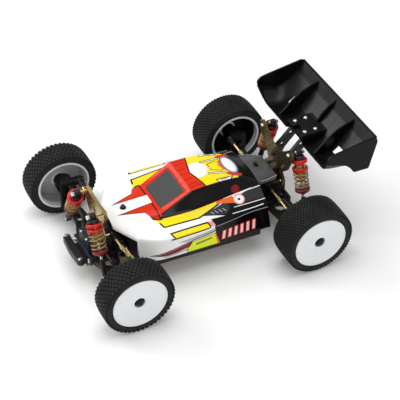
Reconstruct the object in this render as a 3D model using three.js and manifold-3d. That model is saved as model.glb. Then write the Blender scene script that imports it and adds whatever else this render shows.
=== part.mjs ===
// A 1:14 scale four-wheel-drive off-road buggy, built the way it comes apart on a bench.
// Units are millimetres: +X forward, +Y left, +Z up. Every dimension is measured from the
// middle of the wheelbase, and the whole model is then moved so that the origin lies under
// the middle of its bounding box, on the ground.
import * as THREE from 'three';
import { mergeVertices } from 'three/addons/utils/BufferGeometryUtils.js';
import Module from 'manifold-3d';

const wasm = await Module();
wasm.setup();

// ---------------------------------------------------------------- driving dimensions
const WHEELBASE = 175;
const OVERALL_WIDTH = 194;
const TYRE_RADIUS = 33;
const FRONT_TYRE_WIDTH = 24;
const REAR_TYRE_WIDTH = 30;
const WING_REAR_X = -157.5;
const GAP = 0.4; // running clearance between neighbouring pieces
const AXLE_RADIUS = 2.5;
const DRIVE_Z = 28; // height of the drive cups in the gearboxes

const AXLE_X = WHEELBASE / 2;
const FRONT_WHEEL_Y = (OVERALL_WIDTH - FRONT_TYRE_WIDTH) / 2;
const REAR_WHEEL_Y = (OVERALL_WIDTH - REAR_TYRE_WIDTH) / 2;
const CENTRE_SHIFT = -(AXLE_X + TYRE_RADIUS + WING_REAR_X) / 2;

// suspension pivots, as [y, z] on the left side
const ARM_PIVOT = [15.5, 19];
const HUB_PIVOT = [62, 19];
const LINK_Z = 41; // camber link height at the gearbox
const FRONT_LINK_OUTER_Z = 45; // the front link clears the steering arm
const PIN = 1.3; // hinge pins and kingpins
const PIN_BORE = 1.65;
const LINK_INNER_Y = 14;
const LINK_OUTER_Y = LINK_INNER_Y + HUB_PIVOT[0] - ARM_PIVOT[0]; // parallel to the lower arm
const KINGPIN_Y = 71;
const STEER_ARM = 15.5; // distance from the kingpin back to the tie-rod ball
const TIE_ROD_Z = 36.2;
const RACK_Z = 31;
const TIE_INNER_Y = 22.5;
const TIE_OUTER_Y = TIE_INNER_Y + HUB_PIVOT[0] - ARM_PIVOT[0];

// shock absorbers: top and bottom eyes as [y, z], and the eye's distance in x from the axle
const FRONT_SHOCK = { top: [17, 71], foot: [43, 21], x: AXLE_X + 9, bodyEnd: 23, seat: 30.5 };
const REAR_SHOCK = { top: [24.5, 78.5], foot: [44.5, 21], x: -AXLE_X - 14.5, bodyEnd: 27, seat: 35 };
const SHOCK_PIN = 1.4; // radius of the pin each top eye turns on
const SPRING_RADIUS = 6.1;
const SPRING_WIRE = 0.85;

// drive: a spur gear on the centre shaft and a pinion on the motor
const CENTRE_Z = 26.4;
const GEAR_MODULE = 0.9;
const SPUR_TEETH = 28;
const PINION_TEETH = 10;
const SPUR_X = -58.6;
const MOTOR_Y = -16.93;
const MOTOR_Z = 28.8;

const CHASSIS_Z = 10;
const CHASSIS_THICKNESS = 2.5;
const DECK_Z = CHASSIS_Z + CHASSIS_THICKNESS + 0.3; // where parts on the chassis plate stand
const SHELL_THICKNESS = 1.2;

// ---------------------------------------------------------------- materials
function paint(color, roughness, metalness = 0) {
  return new THREE.MeshStandardMaterial({ color, roughness, metalness });
}

const gold = paint(0xb9a46a, 0.32, 1);
const steel = paint(0xb8b8ba, 0.3, 1);
const blackPlastic = paint(0x141416, 0.55);
const blackSteel = paint(0x1b1b1d, 0.4, 0.8);
const rubber = paint(0x1d1d1e, 0.85);
const whitePlastic = paint(0xe9eaea, 0.35);
const springTan = paint(0xb39b63, 0.3, 0.5);
const shellPaint = paint(0xf2f2ee, 0.15);
const batteryBlue = paint(0x20406a, 0.5);

// ---------------------------------------------------------------- shape helpers
const AXIS = { x: new THREE.Vector3(
  1, 0, 0,
), y: new THREE.Vector3(0, 1, 0), z: new THREE.Vector3(0, 0, 1) };

function solid(geometry) {
  const bare = geometry.index ? geometry.toNonIndexed() : geometry.clone();
  for (const name of Object.keys(bare.attributes)) {
    if (name !== 'position') bare.deleteAttribute(name);
  }
  const merged = mergeVertices(bare, 1e-4);
  const triVerts = new Uint32Array(merged.index.array);
  const vertProperties = merged.attributes.position.array;
  return new wasm.Manifold(new wasm.Mesh({ numProp: 3, vertProperties, triVerts }));
}

function geometryOf(manifold) {
  const mesh = manifold.getMesh();
  const geometry = new THREE.BufferGeometry();
  geometry.setAttribute('position', new THREE.BufferAttribute(new Float32Array(mesh.vertProperties), 3));
  geometry.setIndex(new THREE.BufferAttribute(new Uint32Array(mesh.triVerts), 1));
  return geometry;
}

const join = (...pieces) => geometryOf(pieces.map(solid).reduce((a, b) => a.add(b)));
const cut = (piece, ...tools) => geometryOf(tools.map(solid).reduce(
  (a, b) => a.subtract(b), solid(piece),
));

// A box from its lowest to its highest corner.
function box(lo, hi) {
  const size = hi.map((v, i) => v - lo[i]);
  const geometry = new THREE.BoxGeometry(...size);
  return geometry.translate(...hi.map((v, i) => (v + lo[i]) / 2));
}

// A round bar between two points.
function rod(from, to, radius, sides = 10, endRadius = radius) {
  const a = new THREE.Vector3(...from);
  const b = new THREE.Vector3(...to);
  const geometry = new THREE.CylinderGeometry(endRadius, radius, a.distanceTo(b), sides);
  const turn = new THREE.Quaternion().setFromUnitVectors(AXIS.y, b.clone().sub(a).normalize());
  return geometry.applyQuaternion(turn).translate(...a.add(b).multiplyScalar(0.5).toArray());
}

// A solid of revolution about Y; the profile is [radius, y] and closes on itself or on the axis.
function turned(profile, sides = 28) {
  const closed = profile[0][0] > 0 ? [...profile, profile[0]] : profile;
  const points = closed.map(([r, y]) => new THREE.Vector2(r, y));
  const geometry = new THREE.LatheGeometry(points, sides);
  return solid(geometry).volume() < 0 ? new THREE.LatheGeometry(points.reverse(), sides) : geometry;
}

// A flat plate: outline in the plane named by two letters, from low to high along the third axis.
function plate(outline, plane, low, high, holes = []) {
  const points = outline.map(([u, v]) => new THREE.Vector2(u, v));
  if (THREE.ShapeUtils.area(points) < 0) points.reverse();
  const shape = new THREE.Shape(points);
  for (const [u, v, r] of holes) {
    const hole = new THREE.Path();
    hole.absarc(u, v, r, 0, 2 * Math.PI, true);
    shape.holes.push(hole);
  }
  const geometry = new THREE.ExtrudeGeometry(
    shape, { depth: high - low, bevelEnabled: false, curveSegments: 5 },
  );
  if (plane === 'xy') return geometry.translate(0, 0, low);
  const basis = new THREE.Matrix4();
  if (plane === 'yz') {
    basis.makeBasis(AXIS.y, AXIS.z, AXIS.x);
    return geometry.applyMatrix4(basis).translate(low, 0, 0);
  }
  basis.makeBasis(AXIS.x, AXIS.z, AXIS.y.clone().negate());
  return geometry.applyMatrix4(basis).translate(0, high, 0);
}

// The right half of an outline given for its left half, for plates symmetric about y = 0.
const mirrored = (half) => [
  ...half, ...half.slice().reverse().filter(([y]) => y !== 0).map(([y, z]) => [-y, z]),
];

// A closed surface over a grid of points: two skins joined along all four edges.
function skinned(outer, inner) {
  const rows = outer.length;
  const columns = outer[0].length;
  const positions = [...outer.flat(), ...inner.flat()].flat();
  const index = [];
  const at = (skin, i, j) => skin * rows * columns + i * columns + j;
  const quad = (a, b, c, d) => index.push(a, b, c, a, c, d);
  for (let i = 0; i + 1 < rows; i++) {
    for (let j = 0; j + 1 < columns; j++) {
      quad(at(0, i, j), at(0, i, j + 1), at(0, i + 1, j + 1), at(0, i + 1, j));
      quad(at(1, i, j), at(1, i + 1, j), at(1, i + 1, j + 1), at(1, i, j + 1));
    }
    quad(at(0, i, 0), at(0, i + 1, 0), at(1, i + 1, 0), at(1, i, 0));
    quad(
      at(0, i + 1, columns - 1), at(0, i, columns - 1), at(1, i, columns - 1),
      at(1, i + 1, columns - 1),
    );
  }
  for (let j = 0; j + 1 < columns; j++) {
    quad(at(0, 0, j + 1), at(0, 0, j), at(1, 0, j), at(1, 0, j + 1));
    quad(at(0, rows - 1, j), at(0, rows - 1, j + 1), at(1, rows - 1, j + 1), at(1, rows - 1, j));
  }
  const geometry = new THREE.BufferGeometry();
  geometry.setAttribute('position', new THREE.BufferAttribute(new Float32Array(positions), 3));
  geometry.setIndex(index);
  if (solid(geometry).volume() >= 0) return geometry;
  for (let k = 0; k < index.length; k += 3) [index[k + 1], index[k + 2]] = [index[k + 2], index[k + 1]];
  geometry.setIndex(index);
  return geometry;
}

// A polyline moved sideways by a distance, to its right as it is walked.
function offset(line, distance) {
  return line.map((point, i) => {
    const before = line[Math.max(i - 1, 0)];
    const after = line[Math.min(i + 1, line.length - 1)];
    const along = [after[0] - before[0], after[1] - before[1]];
    const length = Math.hypot(...along);
    return [point[0] + (along[1] / length) * distance, point[1] - (along[0] / length) * distance];
  });
}

function piece(name, geometry, material) {
  const mesh = new THREE.Mesh(geometry, material);
  mesh.name = name;
  return mesh;
}

// ---------------------------------------------------------------- chassis and guards
function chassisPlate() {
  const half = [[102, 12], [80, 12], [66, 18], [48, 34], [-48, 36], [-66, 20], [-78, 12.5], [-100, 12.5]];
  const outline = [...half, ...half.slice().reverse().map(([x, y]) => [x, -y])];
  return piece('chassis_plate', plate(outline, 'xy', CHASSIS_Z, CHASSIS_Z + CHASSIS_THICKNESS), gold);
}

// Two plastic rails along the chassis edges, joined by a bridge behind the front gearbox.
function chassisGuard() {
  const rail = (side) => {
    const foot = [[52, 29], [-50, 31], [-58, 36], [-56, 41], [52, 38]].map(([x, y]) => [x, y * side]);
    const wall = [
      [58, 37.5], [52, 40], [-56, 43.5], [-56, 41.5], [51, 38], [56, 36],
    ].map(([x, y]) => [x, y * side]);
    const splash = [[66.5, 25], [65, 24], [55, 36], [58, 37.5]].map(([x, y]) => [x, y * side]);
    return join(
      plate(foot, 'xy', DECK_Z, DECK_Z + 2),
      plate(wall, 'xy', DECK_Z, 27),
      plate(splash, 'xy', DECK_Z, 41),
    );
  };
  const bridge = box([58, -24.5, DECK_Z], [66, 24.5, DECK_Z + 2]);
  return piece('chassis_guard', join(rail(1), rail(-1), bridge), blackPlastic);
}

// A gearbox housing; end is +1 at the front and -1 at the rear.
function gearbox(name, end, postX, postTop) {
  const x = (d) => end * (AXLE_X + d);
  const span = (a, b) => [Math.min(x(a), x(b)), Math.max(x(a), x(b))];
  const block = (a, b, y, low, high) => box([span(a, b)[0], -y, low], [span(a, b)[1], y, high]);
  const bosses = rod([x(0), -12, DRIVE_Z], [x(0), 12, DRIVE_Z], 7, 14);
  const input = rod([x(-11.5), 0, CENTRE_Z], [x(-15), 0, CENTRE_Z], 4.2, 10);
  const bracket = box([Math.min(postX, x(-9)) - 2, -3, 38.6], [Math.max(postX, x(-9)) + 2, 3, 41.6]);
  const post = rod([postX, 0, 38.6], [postX, 0, postTop], 1.8, 10);
  const housing = join(
    block(-11.5, 11.5, 10.5, DECK_Z, 36), block(-10, -3.5, 8.5, 36, 44), bosses, input,
  );
  const guide = end > 0 ? [block(-18, -10, 4, RACK_Z + 3, 39)] : [];
  const plates = [
    block(-15.5, -12.9, 19, 15.8, 22.4), block(-13.5, -11, 8, 15.8, 22),
    block(10.9, 13.4, 19, 15.8, 22.4),
  ];
  const pins = [1, -1].map((s) => rod(
    [x(-14), s * ARM_PIVOT[0], ARM_PIVOT[1]], [x(12), s * ARM_PIVOT[0], ARM_PIVOT[1]], PIN, 8,
  ));
  return piece(name, join(housing, bracket, post, ...guide, ...plates, ...pins), blackPlastic);
}

function frontBumper() {
  const foot = plate([[99.5, -12], [108, -16], [108, 16], [99.5, 12]], 'xy', DECK_Z, DECK_Z + 2.6);
  const bar = plate(
    [[105.5, -20], [110, -22], [112.5, -19], [113.5, 0], [112.5, 19], [110, 22], [105.5, 20]], 'xy',
    DECK_Z + 1, 26,
  );
  return piece('front_bumper', join(foot, bar), blackPlastic);
}

// ---------------------------------------------------------------- shock towers
const TOWER_THICKNESS = 3;

function frontTower() {
  const half = [
    [9.5, 36.4], [16.8, 37.6], [16.8, 44.6], [11, 51], [19.5, 61], [21.8, 66], [21.5, 72],
    [18.5, 74.6], [9, 73.2], [0, 73],
  ];
  const holes = [[0, 62, 3], [6.5, 50, 1.6], [-6.5, 50, 1.6]];
  const face = AXLE_X;
  const sheet = plate(mirrored(half), 'yz', face - TOWER_THICKNESS, face, holes);
  const [y, z] = FRONT_SHOCK.top;
  const pins = [1, -1].map((s) => rod(
    [face - 0.5, s * y, z], [FRONT_SHOCK.x + 3.8, s * y, z], SHOCK_PIN,
  ));
  const studs = [1, -1].map((s) => rod(
    [face - 2.5, s * LINK_INNER_Y, LINK_Z], [AXLE_X - 12.2, s * LINK_INNER_Y, LINK_Z], PIN, 8,
  ));
  return piece('front_shock_tower', join(sheet, ...pins, ...studs), gold);
}

function rearTower() {
  const half = [
    [9, 36.4], [16.8, 37.6], [16.8, 44.6], [10.5, 51], [15, 60], [27.5, 72], [29.6, 76], [29.6, 81],
    [26.4, 83.4], [21.5, 81.5], [11, 72.5], [0, 70],
  ];
  const holes = [[0, 60, 3.2], [7, 48, 1.6], [-7, 48, 1.6]];
  const face = -AXLE_X - 4;
  const sheet = plate(mirrored(half), 'yz', face - TOWER_THICKNESS, face, holes);
  const [y, z] = REAR_SHOCK.top;
  const pins = [1, -1].map((s) => rod([face - 2.5, s * y, z], [REAR_SHOCK.x - 3.8, s * y, z], SHOCK_PIN));
  const studs = [1, -1].map((s) => rod(
    [face - 0.5, s * LINK_INNER_Y, LINK_Z], [-AXLE_X + 12.2, s * LINK_INNER_Y, LINK_Z], PIN, 8,
  ));
  return piece('rear_shock_tower', join(sheet, ...pins, ...studs), gold);
}

// ---------------------------------------------------------------- drive and electrics
// A spur gear along X with straight-sided teeth, centred on the X axis.
function gear(teeth, from, to) {
  const pitch = (GEAR_MODULE * teeth) / 2;
  const outline = [...Array(teeth).keys()].flatMap((i) => {
    const at = (share, r) => {
      const angle = ((i + share) / teeth) * 2 * Math.PI;
      return [r * Math.cos(angle), r * Math.sin(angle)];
    };
    return [
      at(-0.27, pitch - 1.05), at(-0.11, pitch + 0.75), at(0.11, pitch + 0.75), at(0.27, pitch - 1.05),
    ];
  });
  return plate(outline, 'yz', from, to);
}

function motor() {
  const can = rod([-50, MOTOR_Y, MOTOR_Z], [-16, MOTOR_Y, MOTOR_Z], 13.8, 24);
  const tail = rod([-16, MOTOR_Y, MOTOR_Z], [-13, MOTOR_Y, MOTOR_Z], 4.5, 12);
  const mount = box([-54, -30.4, DECK_Z], [-50, -5, 44]);
  const bore = rod([-55, MOTOR_Y, MOTOR_Z], [-39, MOTOR_Y, MOTOR_Z], 2.2, 12);
  return piece('motor', cut(join(can, tail, mount), bore), blackSteel);
}

function motorPinion() {
  const facing = Math.atan2(CENTRE_Z - MOTOR_Z, -MOTOR_Y);
  // a tooth gap of the pinion faces the spur gear's tooth
  const turn = facing + Math.PI / PINION_TEETH;
  const teeth = gear(PINION_TEETH, SPUR_X - 2, SPUR_X + 2).rotateX(turn).translate(0, MOTOR_Y, MOTOR_Z);
  const shaft = rod([SPUR_X + 1, MOTOR_Y, MOTOR_Z], [-40, MOTOR_Y, MOTOR_Z], 1.7, 12);
  return piece('motor_pinion', join(teeth, shaft), steel);
}

function centreShaft() {
  const start = AXLE_X - 15.5;
  const shaft = rod([start, 0, CENTRE_Z], [-start, 0, CENTRE_Z], 2.1, 10);
  const cups = [1, -1].map((s) => rod([s * start, 0, CENTRE_Z], [s * (start - 6), 0, CENTRE_Z], 4, 12));
  const facing = Math.atan2(MOTOR_Z - CENTRE_Z, MOTOR_Y);
  const spur = gear(SPUR_TEETH, SPUR_X - 1.8, SPUR_X + 1.8).rotateX(facing).translate(0, 0, CENTRE_Z);
  return piece('centre_shaft', join(shaft, ...cups, spur), blackSteel);
}

// The steering servo stands on a foot, its spindle under the horn that works the steering plate.
const HORN_LENGTH = 12; // from the servo's axis to the steering plate
const HORN_Z = 28;
const SERVO_AXIS = [AXLE_X - STEER_ARM - HORN_LENGTH, -14];

function servo() {
  const body = box([36, -20.5, 15.2], [66, -7.5, 25]);
  const foot = box([36, -20.5, DECK_Z], [44, -7.5, 15.2]);
  const ears = box([32.5, -20.5, 21], [68.5, -7.5, 22.6]);
  const spindle = rod([...SERVO_AXIS, 25], [...SERVO_AXIS, HORN_Z - GAP], 3, 10);
  return piece('steering_servo', join(body, foot, ears, spindle), blackPlastic);
}

function servoHorn() {
  const [x, y] = SERVO_AXIS;
  const tip = x + HORN_LENGTH + 2;
  const hub = rod([x, y, HORN_Z], [x, y, RACK_Z - GAP], 3.6, 12);
  const arm = plate([[x, y - 3], [tip, y - 2], [tip, y + 2], [x, y + 3]], 'xy', HORN_Z, RACK_Z - 0.6);
  return piece('servo_horn', join(hub, arm), blackPlastic);
}

const speedController = () => piece(
  'speed_controller', box([-9, -29, DECK_Z], [26, -7, 27]), blackPlastic,
);

const batteryPack = () => piece('battery_pack', box([-46, 7, DECK_Z], [40, 28.4, 31]), batteryBlue);

// ---------------------------------------------------------------- steering
const STEER_X = AXLE_X - STEER_ARM;

function steeringPlate() {
  const outline = [
    [-2.2, -24.8], [2.2, -24.8], [2.2, 24.8], [-2.2, 24.8],
  ].map(([x, y]) => [STEER_X + x, y]);
  const studs = [1, -1].map((s) => rod(
    [STEER_X, s * TIE_INNER_Y, RACK_Z], [STEER_X, s * TIE_INNER_Y, RACK_Z + 2.9], 1.4, 8,
  ));
  return piece('steering_plate', join(plate(outline, 'xy', RACK_Z, RACK_Z + 2.5), ...studs), gold);
}

// ---------------------------------------------------------------- suspension, left side
// A lower arm: its outline is [distance from the axle, y], with x growing away from the middle of the car.
function lowerArm(name, end, outline, holes) {
  const at = ([d, y]) => [end * (AXLE_X + d), y];
  const line = outline.map(at);
  const barrel = rod(
    [end * (AXLE_X - 12.5), ...ARM_PIVOT], [end * (AXLE_X + 10.5), ...ARM_PIVOT], 3.2, 14,
  );
  const middle = ARM_PIVOT[1];
  const web = plate(line, 'xy', middle - 2.4, middle + 2.4, holes.map(([d, y, r]) => [...at([d, y]), r]));
  const tip = rod([end * AXLE_X - 3.6, ...HUB_PIVOT], [end * AXLE_X + 3.6, ...HUB_PIVOT], 2.9, 12);
  const bore = (pivot) => rod([end * AXLE_X - 14, ...pivot], [end * AXLE_X + 14, ...pivot], PIN_BORE, 8);
  return piece(name, cut(join(web, barrel, tip), bore(ARM_PIVOT), bore(HUB_PIVOT)), blackPlastic);
}

const FRONT_ARM = [
  [-12.5, 15], [-12, 19], [-6.5, 56.5], [-3.6, 59], [-3.6, 62], [3.6, 62], [3.6, 59], [5, 52], [5, 35],
  [10.5, 20], [10.5, 15],
];
const REAR_ARM = [
  [-12.5, 15], [-12, 19], [-7, 56.5], [-3.6, 59], [-3.6, 62], [3.6, 62], [3.6, 59], [10.4, 52],
  [10.6, 35], [10.5, 20], [10.5, 15],
];
const ARM_HOLES = [[-1.5, 26, 5.5], [-1, 38.5, 4.2], [-0.8, 48.5, 3]];

// The room an arm's tip needs in the carrier's fork.
function forkSpace(x) {
  const round = rod([x - 4.1, ...HUB_PIVOT], [x + 4.1, ...HUB_PIVOT], 3.7, 12);
  return join(round, box([x - 4.1, 55, 15.3], [x + 4.1, 62.5, 22.7]));
}

const forkPin = (x) => rod([x - 6, ...HUB_PIVOT], [x + 6, ...HUB_PIVOT], PIN, 8);

function frontHubCarrier() {
  const frame = box([AXLE_X - 7.5, 61, 15.6], [AXLE_X + 7.5, 65, 45.6]);
  const window = box([AXLE_X - 5, 60, 24.4], [AXLE_X + 5, 66, 41.6]);
  const tongue = (low, high) => plate(
    [[-5, 64], [-5, 72], [-2.5, 75.5], [2.5, 75.5], [5, 72], [5, 64]].map(([x, y]) => [AXLE_X + x, y]),
    'xy', low, high,
  );
  const ear = box([AXLE_X - 7.5, 58.5, 42.5], [AXLE_X - 5, 62, 47]);
  const armRoom = box([AXLE_X - 8, 60, 37.6], [AXLE_X - 4, 66, 41.7]);
  const kingpins = [
    rod([AXLE_X, KINGPIN_Y, 23], [AXLE_X, KINGPIN_Y, 28.6], PIN, 8),
    rod([AXLE_X, KINGPIN_Y, 37.4], [AXLE_X, KINGPIN_Y, 43], PIN, 8),
  ];
  const bare = cut(
    join(frame, tongue(20.6, 24.2), tongue(41.8, 45.6), ear), window, armRoom, forkSpace(AXLE_X),
  );
  return join(bare, ...kingpins, forkPin(AXLE_X));
}

function frontKnuckle() {
  const barrel = rod([AXLE_X, KINGPIN_Y, 24.6], [AXLE_X, KINGPIN_Y, 41.4], 5.3, 14);
  const housing = rod([AXLE_X, KINGPIN_Y, TYRE_RADIUS], [AXLE_X, 78.2, TYRE_RADIUS], 7.4, 14);
  const steer = plate([
    [0, KINGPIN_Y - 3], [0, KINGPIN_Y + 1.5], [-STEER_ARM, TIE_OUTER_Y + 2.6],
    [-STEER_ARM - 2.4, TIE_OUTER_Y], [-STEER_ARM, TIE_OUTER_Y - 2.6],
  ]
    .map(([x, y]) => [AXLE_X + x, y]), 'xy', 38.8, 41.4);
  const bore = rod(
    [AXLE_X, KINGPIN_Y + 1, TYRE_RADIUS], [AXLE_X, FRONT_WHEEL_Y, TYRE_RADIUS], AXLE_RADIUS + GAP, 14,
  );
  const sockets = [[24, 29.2], [36.8, 42]].map(([low, high]) => rod(
    [AXLE_X, KINGPIN_Y, low], [AXLE_X, KINGPIN_Y, high], PIN_BORE, 8,
  ));
  return cut(join(barrel, housing, steer), bore, ...sockets);
}

function rearHubCarrier() {
  const body = box([-AXLE_X - 7.5, 61, 15.6], [-AXLE_X + 7.5, 65.5, 42]);
  const housing = rod([-AXLE_X, 62, TYRE_RADIUS], [-AXLE_X, 78.2, TYRE_RADIUS], 8, 14);
  const ear = box([-AXLE_X + 5, 58.5, 39], [-AXLE_X + 7.5, 62, 44]);
  const bore = rod(
    [-AXLE_X, 60, TYRE_RADIUS], [-AXLE_X, REAR_WHEEL_Y, TYRE_RADIUS], AXLE_RADIUS + GAP, 14,
  );
  return join(cut(join(body, housing, ear), bore, forkSpace(-AXLE_X)), forkPin(-AXLE_X));
}

// A turnbuckle with an eye at each end and hexagonal flats in the middle.
function link(x, inner, outer) {
  const eye = (y, z) => rod([x - 1.9, y, z], [x + 1.9, y, z], 2.9, 10);
  const middle = (inner[0] + outer[0]) / 2;
  const height = (inner[1] + outer[1]) / 2;
  const slope = (outer[1] - inner[1]) / (outer[0] - inner[0]);
  const flats = rod([x, middle - 5, height - 5 * slope], [x, middle + 5, height + 5 * slope], 2, 6);
  const whole = join(eye(...inner), eye(...outer), rod([x, ...inner], [x, ...outer], 1.25, 8), flats);
  return cut(whole, rod([x - 3, ...inner], [x + 3, ...inner], PIN_BORE, 8));
}

function tieRod() {
  const eye = (y) => rod([STEER_X, y, TIE_ROD_Z - 1.9], [STEER_X, y, TIE_ROD_Z + 1.9], 2.7, 10);
  return join(
    eye(TIE_INNER_Y), eye(TIE_OUTER_Y),
    rod([STEER_X, TIE_INNER_Y, TIE_ROD_Z], [STEER_X, TIE_OUTER_Y, TIE_ROD_Z], 1.25, 8),
  );
}

// A drive shaft rises from the gearbox to the axle's height at the kingpin.
function driveShaft(x, outerY) {
  const innerY = 17;
  const slope = (TYRE_RADIUS - DRIVE_Z) / (KINGPIN_Y - innerY);
  const at = (y) => [x, y, DRIVE_Z + (y - innerY) * slope];
  return join(
    rod(at(18), at(24), 4, 10), rod(at(23), at(outerY - 4), 1.8, 8),
    rod(at(outerY - 5), at(outerY), 2.9, 10),
  );
}

// ---------------------------------------------------------------- shock absorbers, left side
// Built hanging down from the top eye at the origin, then turned to point at the bottom eye.
function shockGroup(prefix, side, shock) {
  const reach = [shock.foot[0] - shock.top[0], shock.foot[1] - shock.top[1]];
  const length = Math.hypot(...reach);
  const group = new THREE.Group();
  group.position.set(shock.x, ...shock.top);
  group.rotation.x = Math.atan2(reach[0], -reach[1]);

  const down = (profile, sides) => turned(profile.map(([r, z]) => [r, -z]), sides).rotateX(Math.PI / 2);
  const barrel = down(
    [
      [2, shock.bodyEnd], [4.2, shock.bodyEnd], [4.6, shock.bodyEnd - 1.2], [4.6, 9.6], [7, 9.6],
      [7, 7], [5.4, 6.6], [5.4, 3.6], [4.2, 2.6], [0, 2.6], [0, 5.6], [2, 5.6],
    ],
    14,
  );
  const eye = rod([-2.9, 0, 0], [2.9, 0, 0], 3.3, 12);
  const eyeBore = rod([-4, 0, 0], [4, 0, 0], SHOCK_PIN + 0.35, 10);
  group.add(piece(`${prefix}_shock_body_${side}`, cut(join(barrel, eye), eyeBore), gold));

  const seat = down(
    [
      [0, 12], [1.4, 12], [1.4, shock.seat], [6.9, shock.seat], [7, shock.seat + 2],
      [3.4, shock.seat + 4], [1.6, shock.seat + 5], [1.6, length - 1], [0, length - 1],
    ],
    12,
  );
  const footEye = rod([-2.7, 0, -length], [2.7, 0, -length], 3, 12);
  const rodEnd = rod([0, 0, -length + 8], [0, 0, -length], 2.3, 8);
  group.add(piece(`${prefix}_shock_rod_${side}`, join(seat, footEye, rodEnd), steel));

  const top = 9.9 + SPRING_WIRE;
  const bottom = shock.seat - 0.3 - SPRING_WIRE;
  const turns = 4.5;
  const stepsPerTurn = 8;
  const coil = [...Array(turns * stepsPerTurn + 1).keys()].map((i) => {
    const share = i / (turns * stepsPerTurn);
    const angle = share * turns * 2 * Math.PI;
    return new THREE.Vector3(
      SPRING_RADIUS * Math.cos(angle), SPRING_RADIUS * Math.sin(angle), -top - (bottom - top) * share,
    );
  });
  const wire = new THREE.Shape();
  wire.absarc(0, 0, SPRING_WIRE, 0, 2 * Math.PI, false);
  const helix = new THREE.ExtrudeGeometry(wire, {
    steps: turns * stepsPerTurn,
    curveSegments: 2,
    bevelEnabled: false,
    extrudePath: new THREE.CatmullRomCurve3(coil),
  });
  group.add(piece(`${prefix}_shock_spring_${side}`, helix, springTan));
  return group;
}

// ---------------------------------------------------------------- wheels, left side
// Profiles are [radius, distance from the wheel's middle], with the outer face at +half.
function rimGeometry(half) {
  return turned([
    [2.6, half - 13.7], [8, half - 13.7], [8, half - 6], [22.8, half - 5], [
      22.8, -half + 0.4,
    ], [25.3, -half + 0.2],
    [25.3, -half + 1.4], [24.2, -half + 2.6], [24.2, half - 2.8], [25.3, half - 1.6], [25.3, half - 0.6],
    [23.4, half - 1.2], [8.2, half - 2.4], [6.4, half - 4.6], [2.6, half - 4.6],
  ], 22);
}

function tyreGeometry(half) {
  const r = TYRE_RADIUS;
  return turned([
    [
      25.7, -half + 0.8,
    ], [29, -half], [32, -half + 1.6], [r, -half + 6], [r, half - 6], [32, half - 1.6], [29, half],
    [
      25.7, half - 0.8,
    ], [25.7, half - 2.4], [29, half - 2.2], [30, half - 5], [30, -half + 5], [29, -half + 2.2], [
      25.7, -half + 2.4,
    ],
  ], 24);
}

// The axle stub with its drive hexagon and lock nut, fastened in the rim.
function axleGeometry(half) {
  const bar = turned(
    [
      [0, half - 24], [AXLE_RADIUS, half - 24], [AXLE_RADIUS, half - 18], [6.6, half - 18],
      [6.6, half - 13], [2.8, half - 13], [2.8, half - 0.8], [0, half - 0.8],
    ],
    12,
  );
  const nut = new THREE.CylinderGeometry(4.4, 4.4, 3.2, 6).translate(0, half - 2.6, 0);
  return join(bar, nut);
}

function wheel(prefix, side, x, y, width) {
  const group = new THREE.Group();
  group.position.set(x, y, TYRE_RADIUS);
  group.add(piece(
    `${prefix}_wheel_${side}`, join(rimGeometry(width / 2), axleGeometry(width / 2)), whitePlastic,
  ));
  group.add(piece(`${prefix}_tyre_${side}`, tyreGeometry(width / 2), rubber));
  return group;
}

// ---------------------------------------------------------------- wing
const WING_HALF = 65; // to the middle of the end plates
const WING_CURL_START = 50; // where the wing's front begins to curl up towards the end plates
const WING_THICKNESS = 1.5;
// the wing's upper surface as [x, z] at mid span and at the end plates, where its front curls up
const WING_CHORD = [
  [-111, 79], [-117, 77.6], [-124, 77.2], [-130, 79.4], [-136, 84], [-143, 91.5], [-150, 99.5],
  [-154.4, 105.2], [-156.2, 107.2],
];
const WING_END = [
  [-107, 93.8], [-114, 91], [-121, 88.8], [-128, 85.6], [-134, 87], [-141, 92.5], [-149, 99.8],
  [-154.4, 105.4], [-156.2, 107.2],
];

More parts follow.
